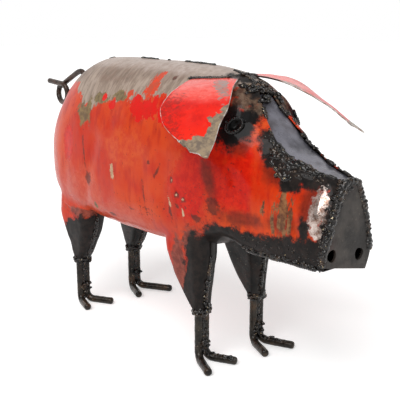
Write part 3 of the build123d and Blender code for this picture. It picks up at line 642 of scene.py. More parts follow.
# Each layer of paint has two colours; edge: how ragged, how fine in millimetres, how
# soft; patches: place, height, half sizes, tilt; above and below: a boundary line of
# places and heights. A fixed layer lies at the same place on both sides of the body.
shell = {
    "slot": "painted_shell", "coneTop": 106.0, "middle": (110, 0, 150), "leftShift": 9.0,
    "paint": {
        "name": "wornRedPaint", "base": (194, 42, 8), "baseLight": (206, 68, 20),
        "scuff": (184, 66, 40), "streak": (168, 26, 14), "coat": 0.14, "coatRoughness": 0.06,
        "specks": 0.45, "speck": (62, 20, 14), "relief": 0.35,
        "layers": [
            # painted reflection: pink of the white floor on the lower flank and of the white
            # backdrop on the rump
            {"mask": "paintedPinkReflection", "colours": ((206, 92, 68), (196, 70, 48)), "rough": 0.25,
             "edge": (2.0, 18, 0.45), "strength": 0.8,
             "patches": [(34, 112, 36, 18, 0), (-24, 140, 12, 44, 10), (92, 102, 36, 12, 0)]},
            {"mask": "deepRed", "colours": ((190, 12, 2), (212, 32, 8)), "rough": 0.2,
             "edge": (2.2, 14, 0.35), "strength": 0.9,
             "patches": [(188, 170, 22, 30, 0), (208, 146, 17, 22, 10), (172, 138, 16, 22, 0),
                         (14, 152, 7, 14, 0), (212, 166, 10, 14, 0), (150, 192, 18, 8, -10)]},
            {"mask": "orange", "colours": ((206, 78, 30), (196, 54, 22)), "rough": 0.3,
             "edge": (2.0, 10, 0.3), "strength": 0.9,
             "patches": [(216, 186, 8, 9, -40), (98, 160, 28, 14, 0)]},
            # dark heat tint near the welds, and partly painted shade below the ear and the eye
            {"mask": "heatTintAndShade", "colours": ((84, 28, 18), (120, 40, 24)), "rough": 0.35,
             "edge": (1.4, 7, 0.5), "strength": 0.8, "fixed": True,
             "patches": [(269, 142, 7, 22, 4), (238, 160, 10, 8, -36), (218, 124, 18, 5, 0),
                         (250, 126, 12, 6, 0), (192, 150, 5, 14, 20), (211, 174, 7, 7, 0)]},
            {"mask": "bareBack", "colours": ((170, 152, 138), (138, 120, 106)), "rough": 0.5,
             "edge": (3.2, 10, 0.06), "metal": 0.1, "height": -0.5, "grain": 4.0,
             "stretch": (1.0, 0.5, 0.5), "spread": 8.0,
             "above": [(-40, 208), (-20, 206), (10, 199), (27, 188), (47, 185), (60, 190),
                       (75, 194), (90, 195), (100, 197), (115, 198), (130, 201), (150, 206),
                       (185, 207), (230, 210)]},
            {"mask": "backDark", "colours": ((96, 80, 68), (120, 90, 78)), "rough": 0.5,
             "edge": (2.6, 9, 0.3), "strength": 0.4, "stretch": (1.0, 0.4, 0.4),
             "patches": [(0, 212, 22, 8, -12), (60, 212, 30, 6, 0), (120, 216, 30, 6, 0),
                         (172, 214, 14, 7, 0)]},
            {"mask": "paleSpine", "colours": ((190, 174, 166), (166, 148, 138)), "rough": 0.4,
             "edge": (1.6, 8, 0.4), "strength": 0.7, "stretch": (1.0, 0.4, 0.4), "spread": 5.0,
             "above": [(-40, 219), (20, 217), (100, 218), (160, 216), (200, 214)]},
            {"mask": "khaki", "colours": ((132, 114, 76), (98, 84, 60)), "rough": 0.5,
             "edge": (3.0, 7, 0.1), "strength": 0.95, "stretch": (1.0, 0.5, 0.5),
             "patches": [(37, 178, 11, 10, 0), (50, 104, 3.0, 3.4, 0), (58, 193, 14, 4, 0),
                         (84, 197, 8, 4, 0)]},
            {"mask": "brightRed", "colours": ((216, 12, 4), (206, 24, 8)), "rough": 0.2,
             "edge": (3.2, 7, 0.05), "height": 0.5, "stretch": (1.0, 0.6, 0.6),
             "patches": [(118, 191, 15, 8, 6), (75, 190, 4.5, 3.6, 0), (104, 196, 6, 4, 20),
                         (142, 187, 7, 6, 0), (62, 194, 3, 3, 0)]},
            {"mask": "brushed", "colours": ((214, 58, 20), (178, 72, 46)), "rough": 0.3,
             "edge": (3.6, 4, 0.06), "height": 0.3, "stretch": (1.0, 0.35, 0.35),
             "patches": [(116, 207, 7, 8, -20), (94, 200, 6, 3, 0)]},
            {"mask": "specked", "colours": ((84, 24, 18), (54, 20, 16)), "rough": 0.4,
             "edge": (3.2, 2.2, 0.1), "level": 0.17, "strength": 0.85,
             "patches": [(182, 130, 34, 24, 0), (208, 148, 18, 26, 0), (130, 116, 40, 14, 0)]},
            {"mask": "smudge", "colours": ((66, 28, 20), (100, 42, 30)), "rough": 0.4,
             "edge": (3.0, 3.5, 0.25), "strength": 0.8,
             "patches": [(44, 126, 4.5, 5, 0), (139, 147, 1.4, 6, -32), (122, 124, 0.9, 12, 4),
                         (40, 150, 0.9, 17, 4), (155.5, 142.5, 2.4, 2.3, 0),
                         (160.5, 132.5, 2.4, 2.2, 0), (167.5, 130, 2.4, 2.2, 0),
                         (129, 152, 1.4, 1.4, 0), (104, 112, 4, 1.2, -12), (72, 100, 5, 1.4, 0),
                         (171, 214, 2, 2, 0), (196, 130, 5, 7, 20), (134, 214, 2, 1.6, 0),
                         (152, 118, 1.4, 6, 10), (178, 118, 5, 3, 0), (160, 124, 2.0, 1.8, 0)]},
            {"mask": "tanChip", "colours": ((206, 172, 140), (164, 124, 92)), "rough": 0.5,
             "edge": (2.2, 3, 0.08),
             "patches": [(82, 138, 2.6, 6.5, 10), (155.5, 142.5, 1.1, 1.0, 0),
                         (160.5, 132.5, 1.1, 1.0, 0), (167.5, 130, 1.0, 0.9, 0),
                         (152, 126, 1.0, 5, 10), (166, 120, 1.0, 4, 4)]},
            {"mask": "brownStrip", "colours": ((136, 70, 56), (98, 46, 38)), "rough": 0.4,
             "edge": (2.2, 6, 0.25), "strength": 0.9,
             "patches": [(152, 74, 8, 24, -4), (22, 90, 24, 4, 0), (166, 98, 12, 7, 50)]},
            {"mask": "rust", "colours": ((138, 100, 66), (84, 56, 40)), "rough": 0.5,
             "edge": (4.6, 3.0, 0.15), "strength": 0.95, "stretch": (1.0, 1.0, 0.3),
             "fixed": True, "height": 0.5,
             "patches": [(250, 133, 4, 20, 4), (243, 128, 1.6, 11, 0), (256, 130, 1.6, 12, 0),
                         (234, 134, 1.4, 5, 0)]},
            {"mask": "soot", "colours": ((112, 92, 76), (76, 52, 40)), "rough": 0.5,
             "edge": (2.4, 5, 0.3), "fixed": True,
             "patches": [(204, 203, 9, 6, 0), (211, 197, 6, 6, 0), (198, 208, 8, 4, 0)]},
            # burnt black sheet; its two patches round the eye are also painted shade of the ear's
            # shadow
            {"mask": "burntAndEyeShade", "colours": ((17, 14, 13), (36, 29, 26)), "rough": 0.55,
             "edge": (2.4, 7, 0.25), "height": 0.4, "fixed": True, "spread": 8.0,
             "below": [(-45, 60), (-10, 75), (5, 84), (20, 88), (35, 86), (50, 80), (60, 68),
                       (145, 52), (155, 58), (162, 78), (172, 100), (184, 112), (195, 118),
                       (210, 117), (240, 115), (254, 118), (275, 122), (290, 130)],
             "patches": [(205, 184.5, 10, 13, 0), (199, 194, 6, 7, 0), (231, 173, 13, 7, -48),
                         (241, 167, 17, 7, -36), (258, 159, 14, 6, -18), (276, 158, 14, 7, -4),
                         (252, 154, 8, 7, 8), (188, 217, 12, 3, -10), (207, 209, 7, 5, 0),
                         (282, 150, 5, 14, 0), (282.5, 124, 4, 18, 0), (268, 126, 4, 8, 20),
                         (172, 84, 12, 22, -6)]},
            # painted shade: the ear's shadow over the eye, and black in the eye's hollow
            {"mask": "paintedEyeShade", "colours": ((5, 5, 5), (12, 10, 10)), "rough": 0.7,
             "edge": (1.6, 4, 0.25), "fixed": True,
             "patches": [(205.5, 185.5, 9.5, 11, 0), (205, 187, 4.5, 4.8, 0)]},
            {"mask": "polished", "colours": ((206, 190, 182), (128, 98, 84)), "rough": 0.2,
             "edge": (2.4, 4, 0.2), "metal": 0.8, "fixed": True,
             "patches": [(275.5, 139, 5.4, 12, 3), (277, 127, 3.4, 6, 0)]},
        ],
    },
}
shell["finish"] = paintFinish(shell["paint"])


def layerMasks(points, layers, moved):
    masks = {}
    for layer in layers:
        x = points[:, 0] + (0.0 if "fixed" in layer else moved)
        z = points[:, 2]
        mask = patchMask(x, z, layer.get("patches", []))
        if "above" in layer:
            mask = np.maximum(mask, edgeMask(x, z, layer["above"], layer["spread"]))
        if "below" in layer:
            mask = np.maximum(mask, 1 - edgeMask(x, z, layer["below"], layer["spread"]))
        masks[layer["mask"]] = mask * layer.get("level", 1.0)
    return masks


for side in ("left", "right"):
    grids = [(shellGrid(side), shell["middle"])]
    for name in legs:
        if name.startswith(side):
            x, y = legs[name]["place"]
            grids.append((coneGrid(name, True, shell["coneTop"]), (x, y * 0.9, 80)))
    mesh = joined([sheetMesh(grid, body["sheet"], grid - middle) for grid, middle in grids])
    moved = shell["leftShift"] if side == "left" else 0.0  # the two sides are worn differently
    addPiece({**shell, "name": side + "BodyShell", "nodes": [side + "_body_shell"]}, mesh,
             layerMasks(mesh[0], shell["paint"]["layers"], moved))
print("body shells done")


burntSheet = metalFinish({
    "name": "burntSheet", "dark": (16, 15, 15), "light": (34, 31, 29), "tint": (54, 36, 28),
    "tintAmount": 0.4, "paintedGlints": 0.15, "patchSize": 14, "rough": 0.42, "metal": 0.3,
    "coat": 0.12, "relief": 0.5,
})
panel = {"slot": "burnt_panel", "top": 103.0, "finish": burntSheet}
for name in legs:
    x, y = legs[name]["place"]
    grid = coneGrid(name, False, panel["top"])
    addPiece({**panel, "name": name.replace("_", "-") + "-panel", "nodes": [name + "_leg_panel"]},
             sheetMesh(grid, body["sheet"], grid - (x, y * 1.1, 80)))


def plateGrid(alongs, halves, heights, count, crown=0.0):  # strip across the head
    acrosses = np.linspace(-1, 1, count)
    return np.stack([
        np.repeat(alongs[:, None], count, 1),
        halves[:, None] * acrosses[None] + noseShift(alongs)[:, None],
        heights[:, None] - crown * acrosses[None] ** 2,
    ], -1)


forehead = {
    "name": "foreheadPlate", "slot": "bare_plate", "nodes": ["forehead_plate"],
    "crown": 0.5, "rows": 86, "columns": 17, "wave": (0.22, 13, 4.0),
    "finish": metalFinish({
        "name": "blueGreySheet", "dark": (74, 73, 80), "light": (118, 117, 126),
        "tint": (62, 52, 50), "tintAmount": 0.7, "paintedGlints": 0.1, "patchSize": 22, "rough": 0.32,
        "metal": 0.45, "coat": 0.2, "relief": 0.25,
    }),
}
alongs = np.linspace(headPlaces[0] + 0.2, snoutX - 0.05, forehead["rows"])
halves, heights = bridgeHalf(np.minimum(alongs, headPlaces[-1])), bridgeHeight(alongs)
grid = plateGrid(alongs, halves, heights, forehead["columns"], forehead["crown"])
grid[..., 2] += waves(grid, [forehead["wave"]])
addPiece(forehead, sheetMesh(grid, body["sheet"], (0, 0, 1)))

chin = {
    "name": "chinPlate", "slot": "burnt_panel", "nodes": ["chin_plate"], "finish": burntSheet,
    "gap": 0.4, "rows": 60, "columns": 15, "wave": (0.2, 12, 9.0),
}
alongs = np.linspace(alongAt(body["chinStart"]), snoutX - 0.3, chin["rows"])
halves = sideReach(alongs, jawLevel(alongs)) - chin["gap"]
grid = plateGrid(alongs, halves, jawLevel(alongs) - body["sheet"], chin["columns"])
grid[..., 2] += waves(grid, [chin["wave"]])
addPiece(chin, sheetMesh(grid, body["sheet"], (0, 0, -1)))

snout = {
    "name": "snoutPlate", "slot": "snout_plate", "nodes": ["snout_plate"],
    "rises": [0.15, 0.28, 0.40, 0.52, 0.64, 0.76, 0.87, 0.95], "topLift": 2.0,
    "feet": ((0.362, -0.113), (-0.551, 0.052)), "thickness": 2.0, "bevel": 0.3, "ragged": 0.45,
    "nostril": 8.2, "nostrilPitch": 27.0, "nostrilAside": 3.2, "nostrilHeight": 7.2,
    "nostrilSlope": 3.6,
    "finish": metalFinish({
        "name": "snoutSheet", "dark": (40, 37, 35), "light": (66, 61, 57), "tint": (72, 50, 44),
        "tintAmount": 0.5, "paintedGlints": 0.1, "patchSize": 18, "rough": 0.4, "metal": 0.3,
        "coat": 0.15, "relief": 0.4,
    }),
}
snoutTall = heightAt(body["head"][-2][2]) + snout["topLift"] - body["jaw"]
snoutMiddle = float(noseShift(snoutX))


def onSnout(across, rise, lift=0.0):  # point of the snout's upright plane
    return np.array([snoutX + lift, across, body["jaw"] + rise])


def snoutEdge(sign, rise, inset):
    reach = float(sideReach(snoutX, body["jaw"] + rise)) - inset
    return (snoutMiddle + sign * reach, rise)


def snoutOutline(inset, feet):
    rises = [share * snoutTall for share in snout["rises"]]
    left, right = [[snoutEdge(sign, rise, inset) for rise in rises] for sign in (1, -1)]
    return [feet[0], *left, (snoutMiddle, snoutTall - inset), *right[::-1], feet[1]]


def flatPlate(outline, holes, thickness, bevel):
    curve = bpy.data.curves.new("outline", "CURVE")
    curve.dimensions = "2D"
    curve.fill_mode = "BOTH"
    for points in [outline, *holes]:
        spline = curve.splines.new("POLY")
        spline.points.add(len(points) - 1)
        spline.points.foreach_set("co", [v for x, y in points for v in (x, y, 0, 1)])
        spline.use_cyclic_u = True
    curve.extrude = thickness / 2 - bevel
    curve.bevel_depth = bevel
    curve.bevel_resolution = 2
    curve.offset = -bevel
    holder = bpy.data.objects.new("outline", curve)
    bpy.context.scene.collection.objects.link(holder)
    ready = holder.evaluated_get(bpy.context.evaluated_depsgraph_get())
    mesh = bpy.data.meshes.new_from_object(ready)
    points = np.array([v.co for v in mesh.vertices])
    faces = [tuple(p.vertices) for p in mesh.polygons]
    bpy.data.objects.remove(holder)
    return points, faces


plateFeet = [(snoutMiddle + a * body["halfWidth"], b * snoutTall) for a, b in snout["feet"]]
rim, _ = evenLine(snoutOutline(0.0, plateFeet), 1.0)
rim[:, 0] += snout["ragged"] * lumps(np.stack([rim[:, 0], rim[:, 1], rim[:, 1] * 0], 1), 4.0, 5.0)
circle = np.linspace(0, 2 * math.pi, 28, endpoint=False)
holes, nostrils = [], []
for sign in (-1, 1):
    across = snoutMiddle - snout["nostrilAside"] + sign * snout["nostrilPitch"] / 2
    rise = snout["nostrilHeight"] - sign * snout["nostrilSlope"] / 2
    nostrils.append((across, rise))
    radii = snout["nostril"] / 2 * (1 + 0.05 * np.sin(3 * circle + sign))
    holes.append([(across + radius * math.cos(t), rise + radius * math.sin(t))
                  for t, radius in zip(circle, radii)])
points, faces = flatPlate(rim.tolist(), holes, snout["thickness"], snout["bevel"])
points = np.array([onSnout(x, y, snout["thickness"] / 2 + z) for x, y, z in points])
addPiece(snout, (points, faces), smooth=False)
print("plates done")


ear = {
    "slot": "painted_ear", "length": 110.0, "sheet": 1.0, "sweep": 132.6, "droop": 6.3,
    "place": (0.6394, 0.265), "sink": 2.9, "rows": 76, "columns": 60, "tipRounding": 0.02,
    "bend": [(-0.210, -0.020), (-0.120, -0.004), (-0.010, 0.000), (0.150, -0.012),
             (0.290, -0.038), (0.435, -0.098), (0.550, -0.170), (0.660, -0.250),
             (0.760, -0.325), (0.860, -0.395)],
    "front": [(0.210, -0.020), (0.300, 0.110), (0.436, 0.273), (0.495, 0.395), (0.555, 0.490),
              (0.609, 0.590)],
    "rear": [(0.455, 0.610), (0.345, 0.610), (0.227, 0.600), (0.155, 0.573), (0.109, 0.536),
             (0.064, 0.445), (0.000, 0.318), (-0.064, 0.200), (-0.136, 0.064),
             (-0.218, -0.020)],
    "roll": {"left": 7.0, "right": 0.0}, "curlUnder": 3.2,
    "waves": [(0.5, 17, 2.0), (0.22, 7, 3.0)],
    # places where bare metal begins on the tip: out from the middle, along
    "tipLine": [(30, 214), (38, 212), (41, 210.5), (49, 212), (54, 211.5), (58.5, 210.5),
                (60.5, 216.5), (64, 215), (68, 217.5), (70, 214), (75, 213.5), (79, 206),
                (82, 197), (90, 190)],
    # the first two: where the painted reflection on the ear's upward face begins, and the way it
    # grows
    "reflectionFrom": (191, 58), "reflectionWay": (-0.632, -0.776), "greyPatch": (193, 31.5, 16, 4.5, 36),
    # seed of the worn edge, how much farther forward the bare tip begins, sooty share
    "wear": {"left": (4.0, 6.0, 0.4), "right": (8.0, 0.0, 0.12)},
    "paint": {
        "name": "wornEarPaint", "base": (222, 22, 8), "baseLight": (236, 38, 16),
        "scuff": (214, 60, 44), "streak": (190, 16, 8), "coat": 0.22, "coatRoughness": 0.06,
        "specks": 0.4, "speck": (82, 26, 20), "relief": 0.35,
        "layers": [
            # painted reflection of the light above, on the ear's upward face
            {"mask": "paintedReflectionBand", "colours": ((244, 110, 100), (236, 80, 68)), "rough": 0.25,
             "edge": (1.2, 18, 0.4), "strength": 0.85},
            # darker red towards the rear edge of the outer half, and at the root
            {"mask": "darkerRearAndRoot", "colours": ((156, 34, 26), (118, 34, 26)), "rough": 0.35,
             "edge": (3.0, 3, 0.3), "strength": 0.65},
            {"mask": "greyPatch", "colours": ((150, 138, 132), (188, 112, 100)), "rough": 0.4,
             "edge": (3.4, 5, 0.15), "metal": 0.2, "height": -0.3},
            {"mask": "bareTip", "colours": ((160, 140, 114), (118, 104, 92)), "rough": 0.36,
             "edge": (3.0, 6, 0.07), "metal": 0.25, "height": -0.5},
            {"mask": "edgeWear", "colours": ((224, 220, 214), (160, 130, 116)), "rough": 0.35,
             "edge": (0.8, 4, 0.15), "metal": 0.4},
            {"mask": "sootRoot", "colours": ((38, 28, 26), (64, 34, 28)), "rough": 0.45,
             "edge": (1.0, 6, 0.25)},
        ],
    },
}
ear["finish"] = paintFinish(ear["paint"])
earX = alongAt(ear["place"][0])
earY = ear["place"][1] * body["halfWidth"]
earZ = float(roofHeight(earX, earY)) - ear["sink"]
earTurn, earDroop = math.radians(ear["sweep"]), math.radians(ear["droop"])
bendTable = np.array(ear["bend"]) * ear["length"]


def earAlong(x, y):  # distance from the root the way the ear points
    return (x - earX) * math.cos(earTurn) + (y - earY) * math.sin(earTurn)


def earHeight(x, y):
    across = (x - earX) * math.sin(earTurn) - (y - earY) * math.cos(earTurn)
    bend = smoothAt(across, bendTable[:, 0], bendTable[:, 1])
    return earZ + bend / math.cos(earDroop) - earAlong(x, y) * math.tan(earDroop)


def earGrid():
    share, across = np.linspace(0, 1, ear["rows"]), np.linspace(0, 1, ear["columns"])
    edges = []
    for points in (ear["front"], ear["rear"][::-1]):
        line, _ = evenLine(np.array([earX, earY]) + np.array(points) * ear["length"], 0.5)
        at = share * (len(line) - 1)
        edge = np.stack([np.interp(at, np.arange(len(line)), c) for c in line.T], 1)
        edges.append(edge[:, None])
    plan = edges[0] * (1 - across[None, :, None]) + edges[1] * across[None, :, None]
    drawn = ear["tipRounding"] * (2 * across - 1) ** 4  # the tip is rounded off
    for i in range(ear["rows"]):
        plan[i] -= (drawn * eased(share[i], 0.75, 1.0))[:, None] * (plan[-1] - plan[0])
    z = earHeight(plan[..., 0], plan[..., 1])
    z = z - ear["curlUnder"] * eased(share, 0.5, 0.85)[:, None] * eased(across, 0.35, 1.0)[None]
    grid = np.concatenate([plan, z[..., None]], -1)
    normals = gridNormals(grid)
    normals = np.where(normals[..., 2:3] < 0, -normals, normals)
    push = waves(grid, ear["waves"]) * eased(share, 0.05, 0.3)[:, None]
    return grid + normals * push[..., None], share, across


def earMasks(grid, share, across, seed, bare, soot):
    s = np.repeat(share[:, None], len(across), 1)
    a = np.repeat(across[None], len(share), 0)
    x, out = grid[..., 0], grid[..., 1]
    border = np.minimum(np.minimum(a, 1 - a) * 60, (1 - s) * 80)
    tip = np.array(ear["tipLine"])
    # painted reflection: pink where the ear's face turns up towards the light
    start, way = ear["reflectionFrom"], ear["reflectionWay"]
    reflection = eased((x - start[0]) * way[0] + (out - start[1]) * way[1], -5, 13)
    masks = {
        "paintedReflectionBand": reflection * (1 - eased(a, 0.92, 1.0)),
        "darkerRearAndRoot": 0.55 * eased(a, 0.55, 0.85) * eased(s, 0.35, 0.6) + 0.3 * (1 - eased(s, 0.1, 0.3)),
        "greyPatch": patchMask(x, out, [ear["greyPatch"]]),
        "bareTip": eased(x - bare - np.interp(out, tip[:, 0], tip[:, 1]), -4, 4),
        "edgeWear": 1 - eased(border + 0.5 * lumps(grid, 6, seed), -0.2, 0.7),
        "sootRoot": 1 - eased(s, 0.0, soot),
    }
    return {name: np.concatenate([m.ravel(), m.ravel()]) for name, m in masks.items()}


for side, sign in (("left", 1), ("right", -1)):
    grid, share, across = earGrid()
    twist = math.tan(math.radians(ear["roll"][side])) * eased(share, 0.0, 0.4)[:, None]
    grid[..., 2] += earAlong(grid[..., 0], grid[..., 1]) * twist
    addPiece({**ear, "name": side + "Ear", "nodes": [side + "_ear"]},
             sheetMesh(grid * (1, sign, 1), ear["sheet"], (0, 0, 1)),
             earMasks(grid, share, across, *ear["wear"][side]))
print("ears done")


bars = {
    "slot": "leg_bar", "radius": barRadius, "gap": 0.1, "top": 62.0, "bend": 7.0, "flat": 0.4,
    "round": 2.2, "toeExtra": 1.2, "ragged": 0.14,
    "finish": metalFinish({
        "name": "darkBar", "dark": (22, 20, 18), "light": (50, 44, 37), "tint": (92, 66, 44),
        "tintAmount": 0.4, "paintedGlints": 0.3, "patchSize": 9, "rough": 0.30, "metal": 0.4,
        "coat": 0.25, "relief": 0.5,
    }),
}


def bentPath(start, corner, end, radius):  # two straight runs with an arc between them
    start, corner, end = [np.array(p, float) for p in (start, corner, end)]
    a = (start - corner) / np.linalg.norm(start - corner)
    b = (end - corner) / np.linalg.norm(end - corner)
    half = math.acos(float(a @ b)) / 2
    reach = radius / math.tan(half)
    middle = corner + (a + b) / np.linalg.norm(a + b) * radius / math.sin(half)
    first, last = corner + a * reach, corner + b * reach
    u, v = first - middle, last - middle
    angle = math.acos(float(u @ v) / radius**2)
    arc = [middle + (math.sin((1 - t) * angle) * u + math.sin(t * angle) * v) / math.sin(angle)
           for t in np.linspace(0, 1, 12)]
    straight = [start + (first - start) * t for t in np.linspace(0, 1, 8)[:-1]]
    toe = [last + (end - last) * t for t in np.linspace(0, 1, 6)[1:]]
    return [*straight, *arc, *toe]


for name, leg in legs.items():
    x, y = leg["place"]
    outward = 1 if y > 0 else -1
    low, wide = bars["radius"] - bars["flat"], 2 * bars["radius"]
    for index, (place, sign) in enumerate((("outer", outward), ("inner", -outward))):
        reach, spread = leg["toes"][index]
        at = y + sign * (wide + bars["gap"]) / 2
        tip = (x + reach * wide + bars["toeExtra"], at + sign * spread * wide, low)
        path = bentPath((x, at, bars["top"]), (x, at, low), tip, bars["bend"])
        points, faces = roundedTube(path, bars["radius"], 1.0, bars["round"], sides=22,
                                    roughness=bars["ragged"], seed=float(len(name) + index))
        points[:, 2] = np.maximum(points[:, 2], 0.0)
        addPiece({**bars, "name": name.replace("_", "-") + "-" + place + "-bar",
                  "nodes": [name + "_" + place + "_bar"]}, (points, faces))

# Arch, centre and tip of the tail are shares of its curl, along and up from its root.
tail = {
    "name": "tailRod", "slot": "tail_rod", "nodes": ["tail_rod"], "radius": 2.5, "curl": 17.0,
    "rise": 13.7, "root": 0.045, "step": 6.4, "turns": (130.0, 445.0), "round": 1.4,
    "arch": [(0.40, -0.90), (-0.06, -0.23), (-0.22, -0.06), (-0.48, -0.02), (-0.94, -0.18)],
    "centre": (-2.32, -1.38), "tip": (-3.75, -0.80), "aside": (0.745, -0.624, 0.237),
    "finish": metalFinish({
        "name": "tailSteel", "dark": (38, 29, 25), "light": (70, 55, 47), "tint": (92, 62, 46),
        "tintAmount": 0.5, "paintedGlints": 0.2, "patchSize": 7, "rough": 0.36, "metal": 0.3,
        "coat": 0.2, "relief": 0.45,
    }),
}
tailX = alongAt(tail["root"])
tailRoot = np.array([tailX, 0, float(sectionAt(tailX)[1]) + tail["rise"]])
aside = np.array(tail["aside"]) / np.linalg.norm(tail["aside"]) * tail["step"]


def tailAt(place):
    return np.array([place[0], 0, place[1]]) * tail["curl"]


route = [tailRoot + tailAt(place) for place in tail["arch"]]
for part in np.linspace(0, 1, 22):
    angle = math.radians(tail["turns"][0] + (tail["turns"][1] - tail["turns"][0]) * part)
    spoke = tailAt((math.cos(angle), math.sin(angle))) / 2
    route.append(tailRoot + tailAt(tail["centre"]) + spoke + aside * part)
route.append(tailRoot + aside + tailAt(tail["tip"]))
addPiece(tail, roundedTube(route, tail["radius"], 0.9, tail["round"], sides=20, roughness=0.12,
                           seed=3.0))
print("bars and tail done")


weld = {
    "slot": "weld_metal", "bead": 3.0, "fine": 1.6, "pitch": 1.9,
    # first and last share of each run along the body
    "spine": [(0.100, 0.130), (0.170, 0.200), (0.310, 0.390), (0.420, 0.437), (0.485, 0.600),
              (0.655, 0.735)],
    "belly": [(0.190, 0.240), (0.380, 0.440), (0.520, 0.560)],
    "jaw": (0.775, 0.990), "tacks": [0.785, 0.850, 0.920, 0.975],
    # glossy folds along the near brow: distance from the plate, radius, first and last place
    "folds": [(1.2, 1.5, 224, 274), (3.2, 2.1, 226, 266), (5.6, 2.0, 229, 258),
              (8.0, 1.7, 232, 252)],
    # largest drops on the snout: share of its height, inset, radius
    "drops": ((0.90, 1.5, 3.3), (0.80, 0.6, 2.7), (0.96, 4.5, 2.6)),
    # slag left along the top of one toe: its two ends
    "toes": {"right_front": ((172, -23.5, 5.6), (190, -15, 5.2)),
             "left_front": ((175, 31.5, 5.6), (193, 37.5, 5.2))},
    # its golden specks are painted glints of highlight on the weld
    "finish": metalFinish({
        "name": "weldMetal", "dark": (11, 10, 10), "light": (30, 26, 24), "tint": (84, 60, 38),
        "tintAmount": 0.4, "paintedGlints": 0.7, "paintedGlintColour": (222, 200, 158), "patchSize": 4,
        "rough": 0.24, "metal": 0.45, "coat": 0.6, "relief": 0.7,
    }),
}
# Spatter and crust: seed, count, then the least and the most of each random number,
# mostly places and last a radius. The bead of the snout has one for each of its points.
crust = {
    "jawSpatter": (7, 90, (212, 0.5, 0.3), (281, 14, 0.8)),
    "jawCrust": (9, 80, (208, -1.0, 0.9), (282, 2.4, 2.1)),
    "earRoot": (17, 26, (0, -2, -4, 0.8), (11.9, 2, 1, 1.9)),
    "snoutBead": (31, 0, (-0.9, -1.2, 0.9), (0.9, 0.3, 2.7)),
    "snoutTop": (33, 22, (-10, 0.5, 1.6), (4, 8, 3.0)),
    "nearCheek": (35, 34, (280.5, 107, 0.9), (284, 154, 2.0)),
    "farCheek": (36, 40, (280, 107, 0.8), (284, 154, 2.0)),
    "plateEdge": (37, 150, (0, 0.06, 1.0), (1, 0.97, 2.7)),
    "nearBrow": (41, 210, (0, 0, 0), (1, 1, 1)),
    "farBrow": (43, 70, (0, 0, 0), (1, 1, 1)),
    "crown": (47, 70, (192, -14, 0.8), (209, 12, 2.6)),
    "ankle": (60, 30, (0.5, -4.0, 5.5, 0.9), (5.0, 4.0, 19, 2.1)),
    "seamOff": (70, 16, (-1.8,), (1.8,)),
    "seamRadius": (80, 16, (0.9,), (2.2,)),
    "knee": (90, 26, (-0.4, -1.8, 20, 0.8), (1.0, 1.8, 46, 1.9)),
    "toe": (95, 26, (0, -1.6, 0), (1, 1.6, 1)),
}


def scatter(name, shift=0, count=0):  # even random numbers, the same on every run
    seed, usual, low, high = crust[name]
    return np.random.default_rng(seed + shift).uniform(low, high, (count or usual, len(low)))


def crustMesh(spots, seed):  # lumps of metal sunk into what carries them
    rings, sides = 5, 8
    polar, turn = np.meshgrid(np.linspace(0.35, math.pi - 0.35, rings),
                              np.linspace(0, 2 * math.pi, sides + 1)[:-1], indexing="ij")
    unit = np.stack([np.sin(polar) * np.cos(turn), np.sin(polar) * np.sin(turn),
                     np.cos(polar)], -1)
    unit = np.vstack([[[0, 0, 1.0]], unit.reshape(-1, 3), [[0, 0, -1.0]]])
    faces = gridFaces(rings, sides, 1, False, closed=True)
    lowest = 1 + (rings - 1) * sides
    for j in range(sides):
        k = (j + 1) % sides
        faces += [(0, 1 + j, 1 + k), (len(unit) - 1, lowest + k, lowest + j)]
    parts = []
    for i, (place, radius) in enumerate(spots):
        shape = 1 + 0.42 * lumps(unit * 1.4 + i * 3.1, 1.0, seed + i)
        stretch = [1 + 0.45 * math.sin(seed + i), 1 + 0.35 * math.cos(2.3 * i + seed), 0.75]
        points = np.asarray(place) + unit * shape[:, None] * np.array(stretch) * radius
        parts.append((points, faces))
    return joined(parts)


def addWeld(name, node, runs):
    addPiece({**weld, "name": name, "nodes": [node]}, joined(runs))


def seamRun(shares, row, radius, seed):  # row 1 of a section is its top, 2 its bottom
    start, end = [alongAt(share) for share in shares]
    x = np.arange(start, end + 0.1, 3.0)
    z = sectionAt(x)[row] + (-0.2 if row == 1 else 0.2)
    line = np.stack([x, 0.6 * lumpsAlong(x, 9, seed), z], 1)
    return weldMesh(line, radius, weld["pitch"], seed=seed)


addWeld("spineWeld", "spine_weld", [seamRun(shares, 1, weld["fine"] * 0.93, i + 1.0)
                                    for i, shares in enumerate(weld["spine"])])
addWeld("bellyWeld", "belly_weld", [seamRun(shares, 2, weld["fine"], i + 11.0)
                                    for i, shares in enumerate(weld["belly"])])


def onRoof(x, off, lift=0.0):  # point of the back or brow, off to one side of the middle
    return np.array([x, float(noseShift(x)) + off, float(roofHeight(x, abs(off))) + lift])


def onCheek(x, sign, z, lift=0.0):
    return np.array([x, float(noseShift(x)) + sign * (float(sideReach(x, z)) + lift), z])


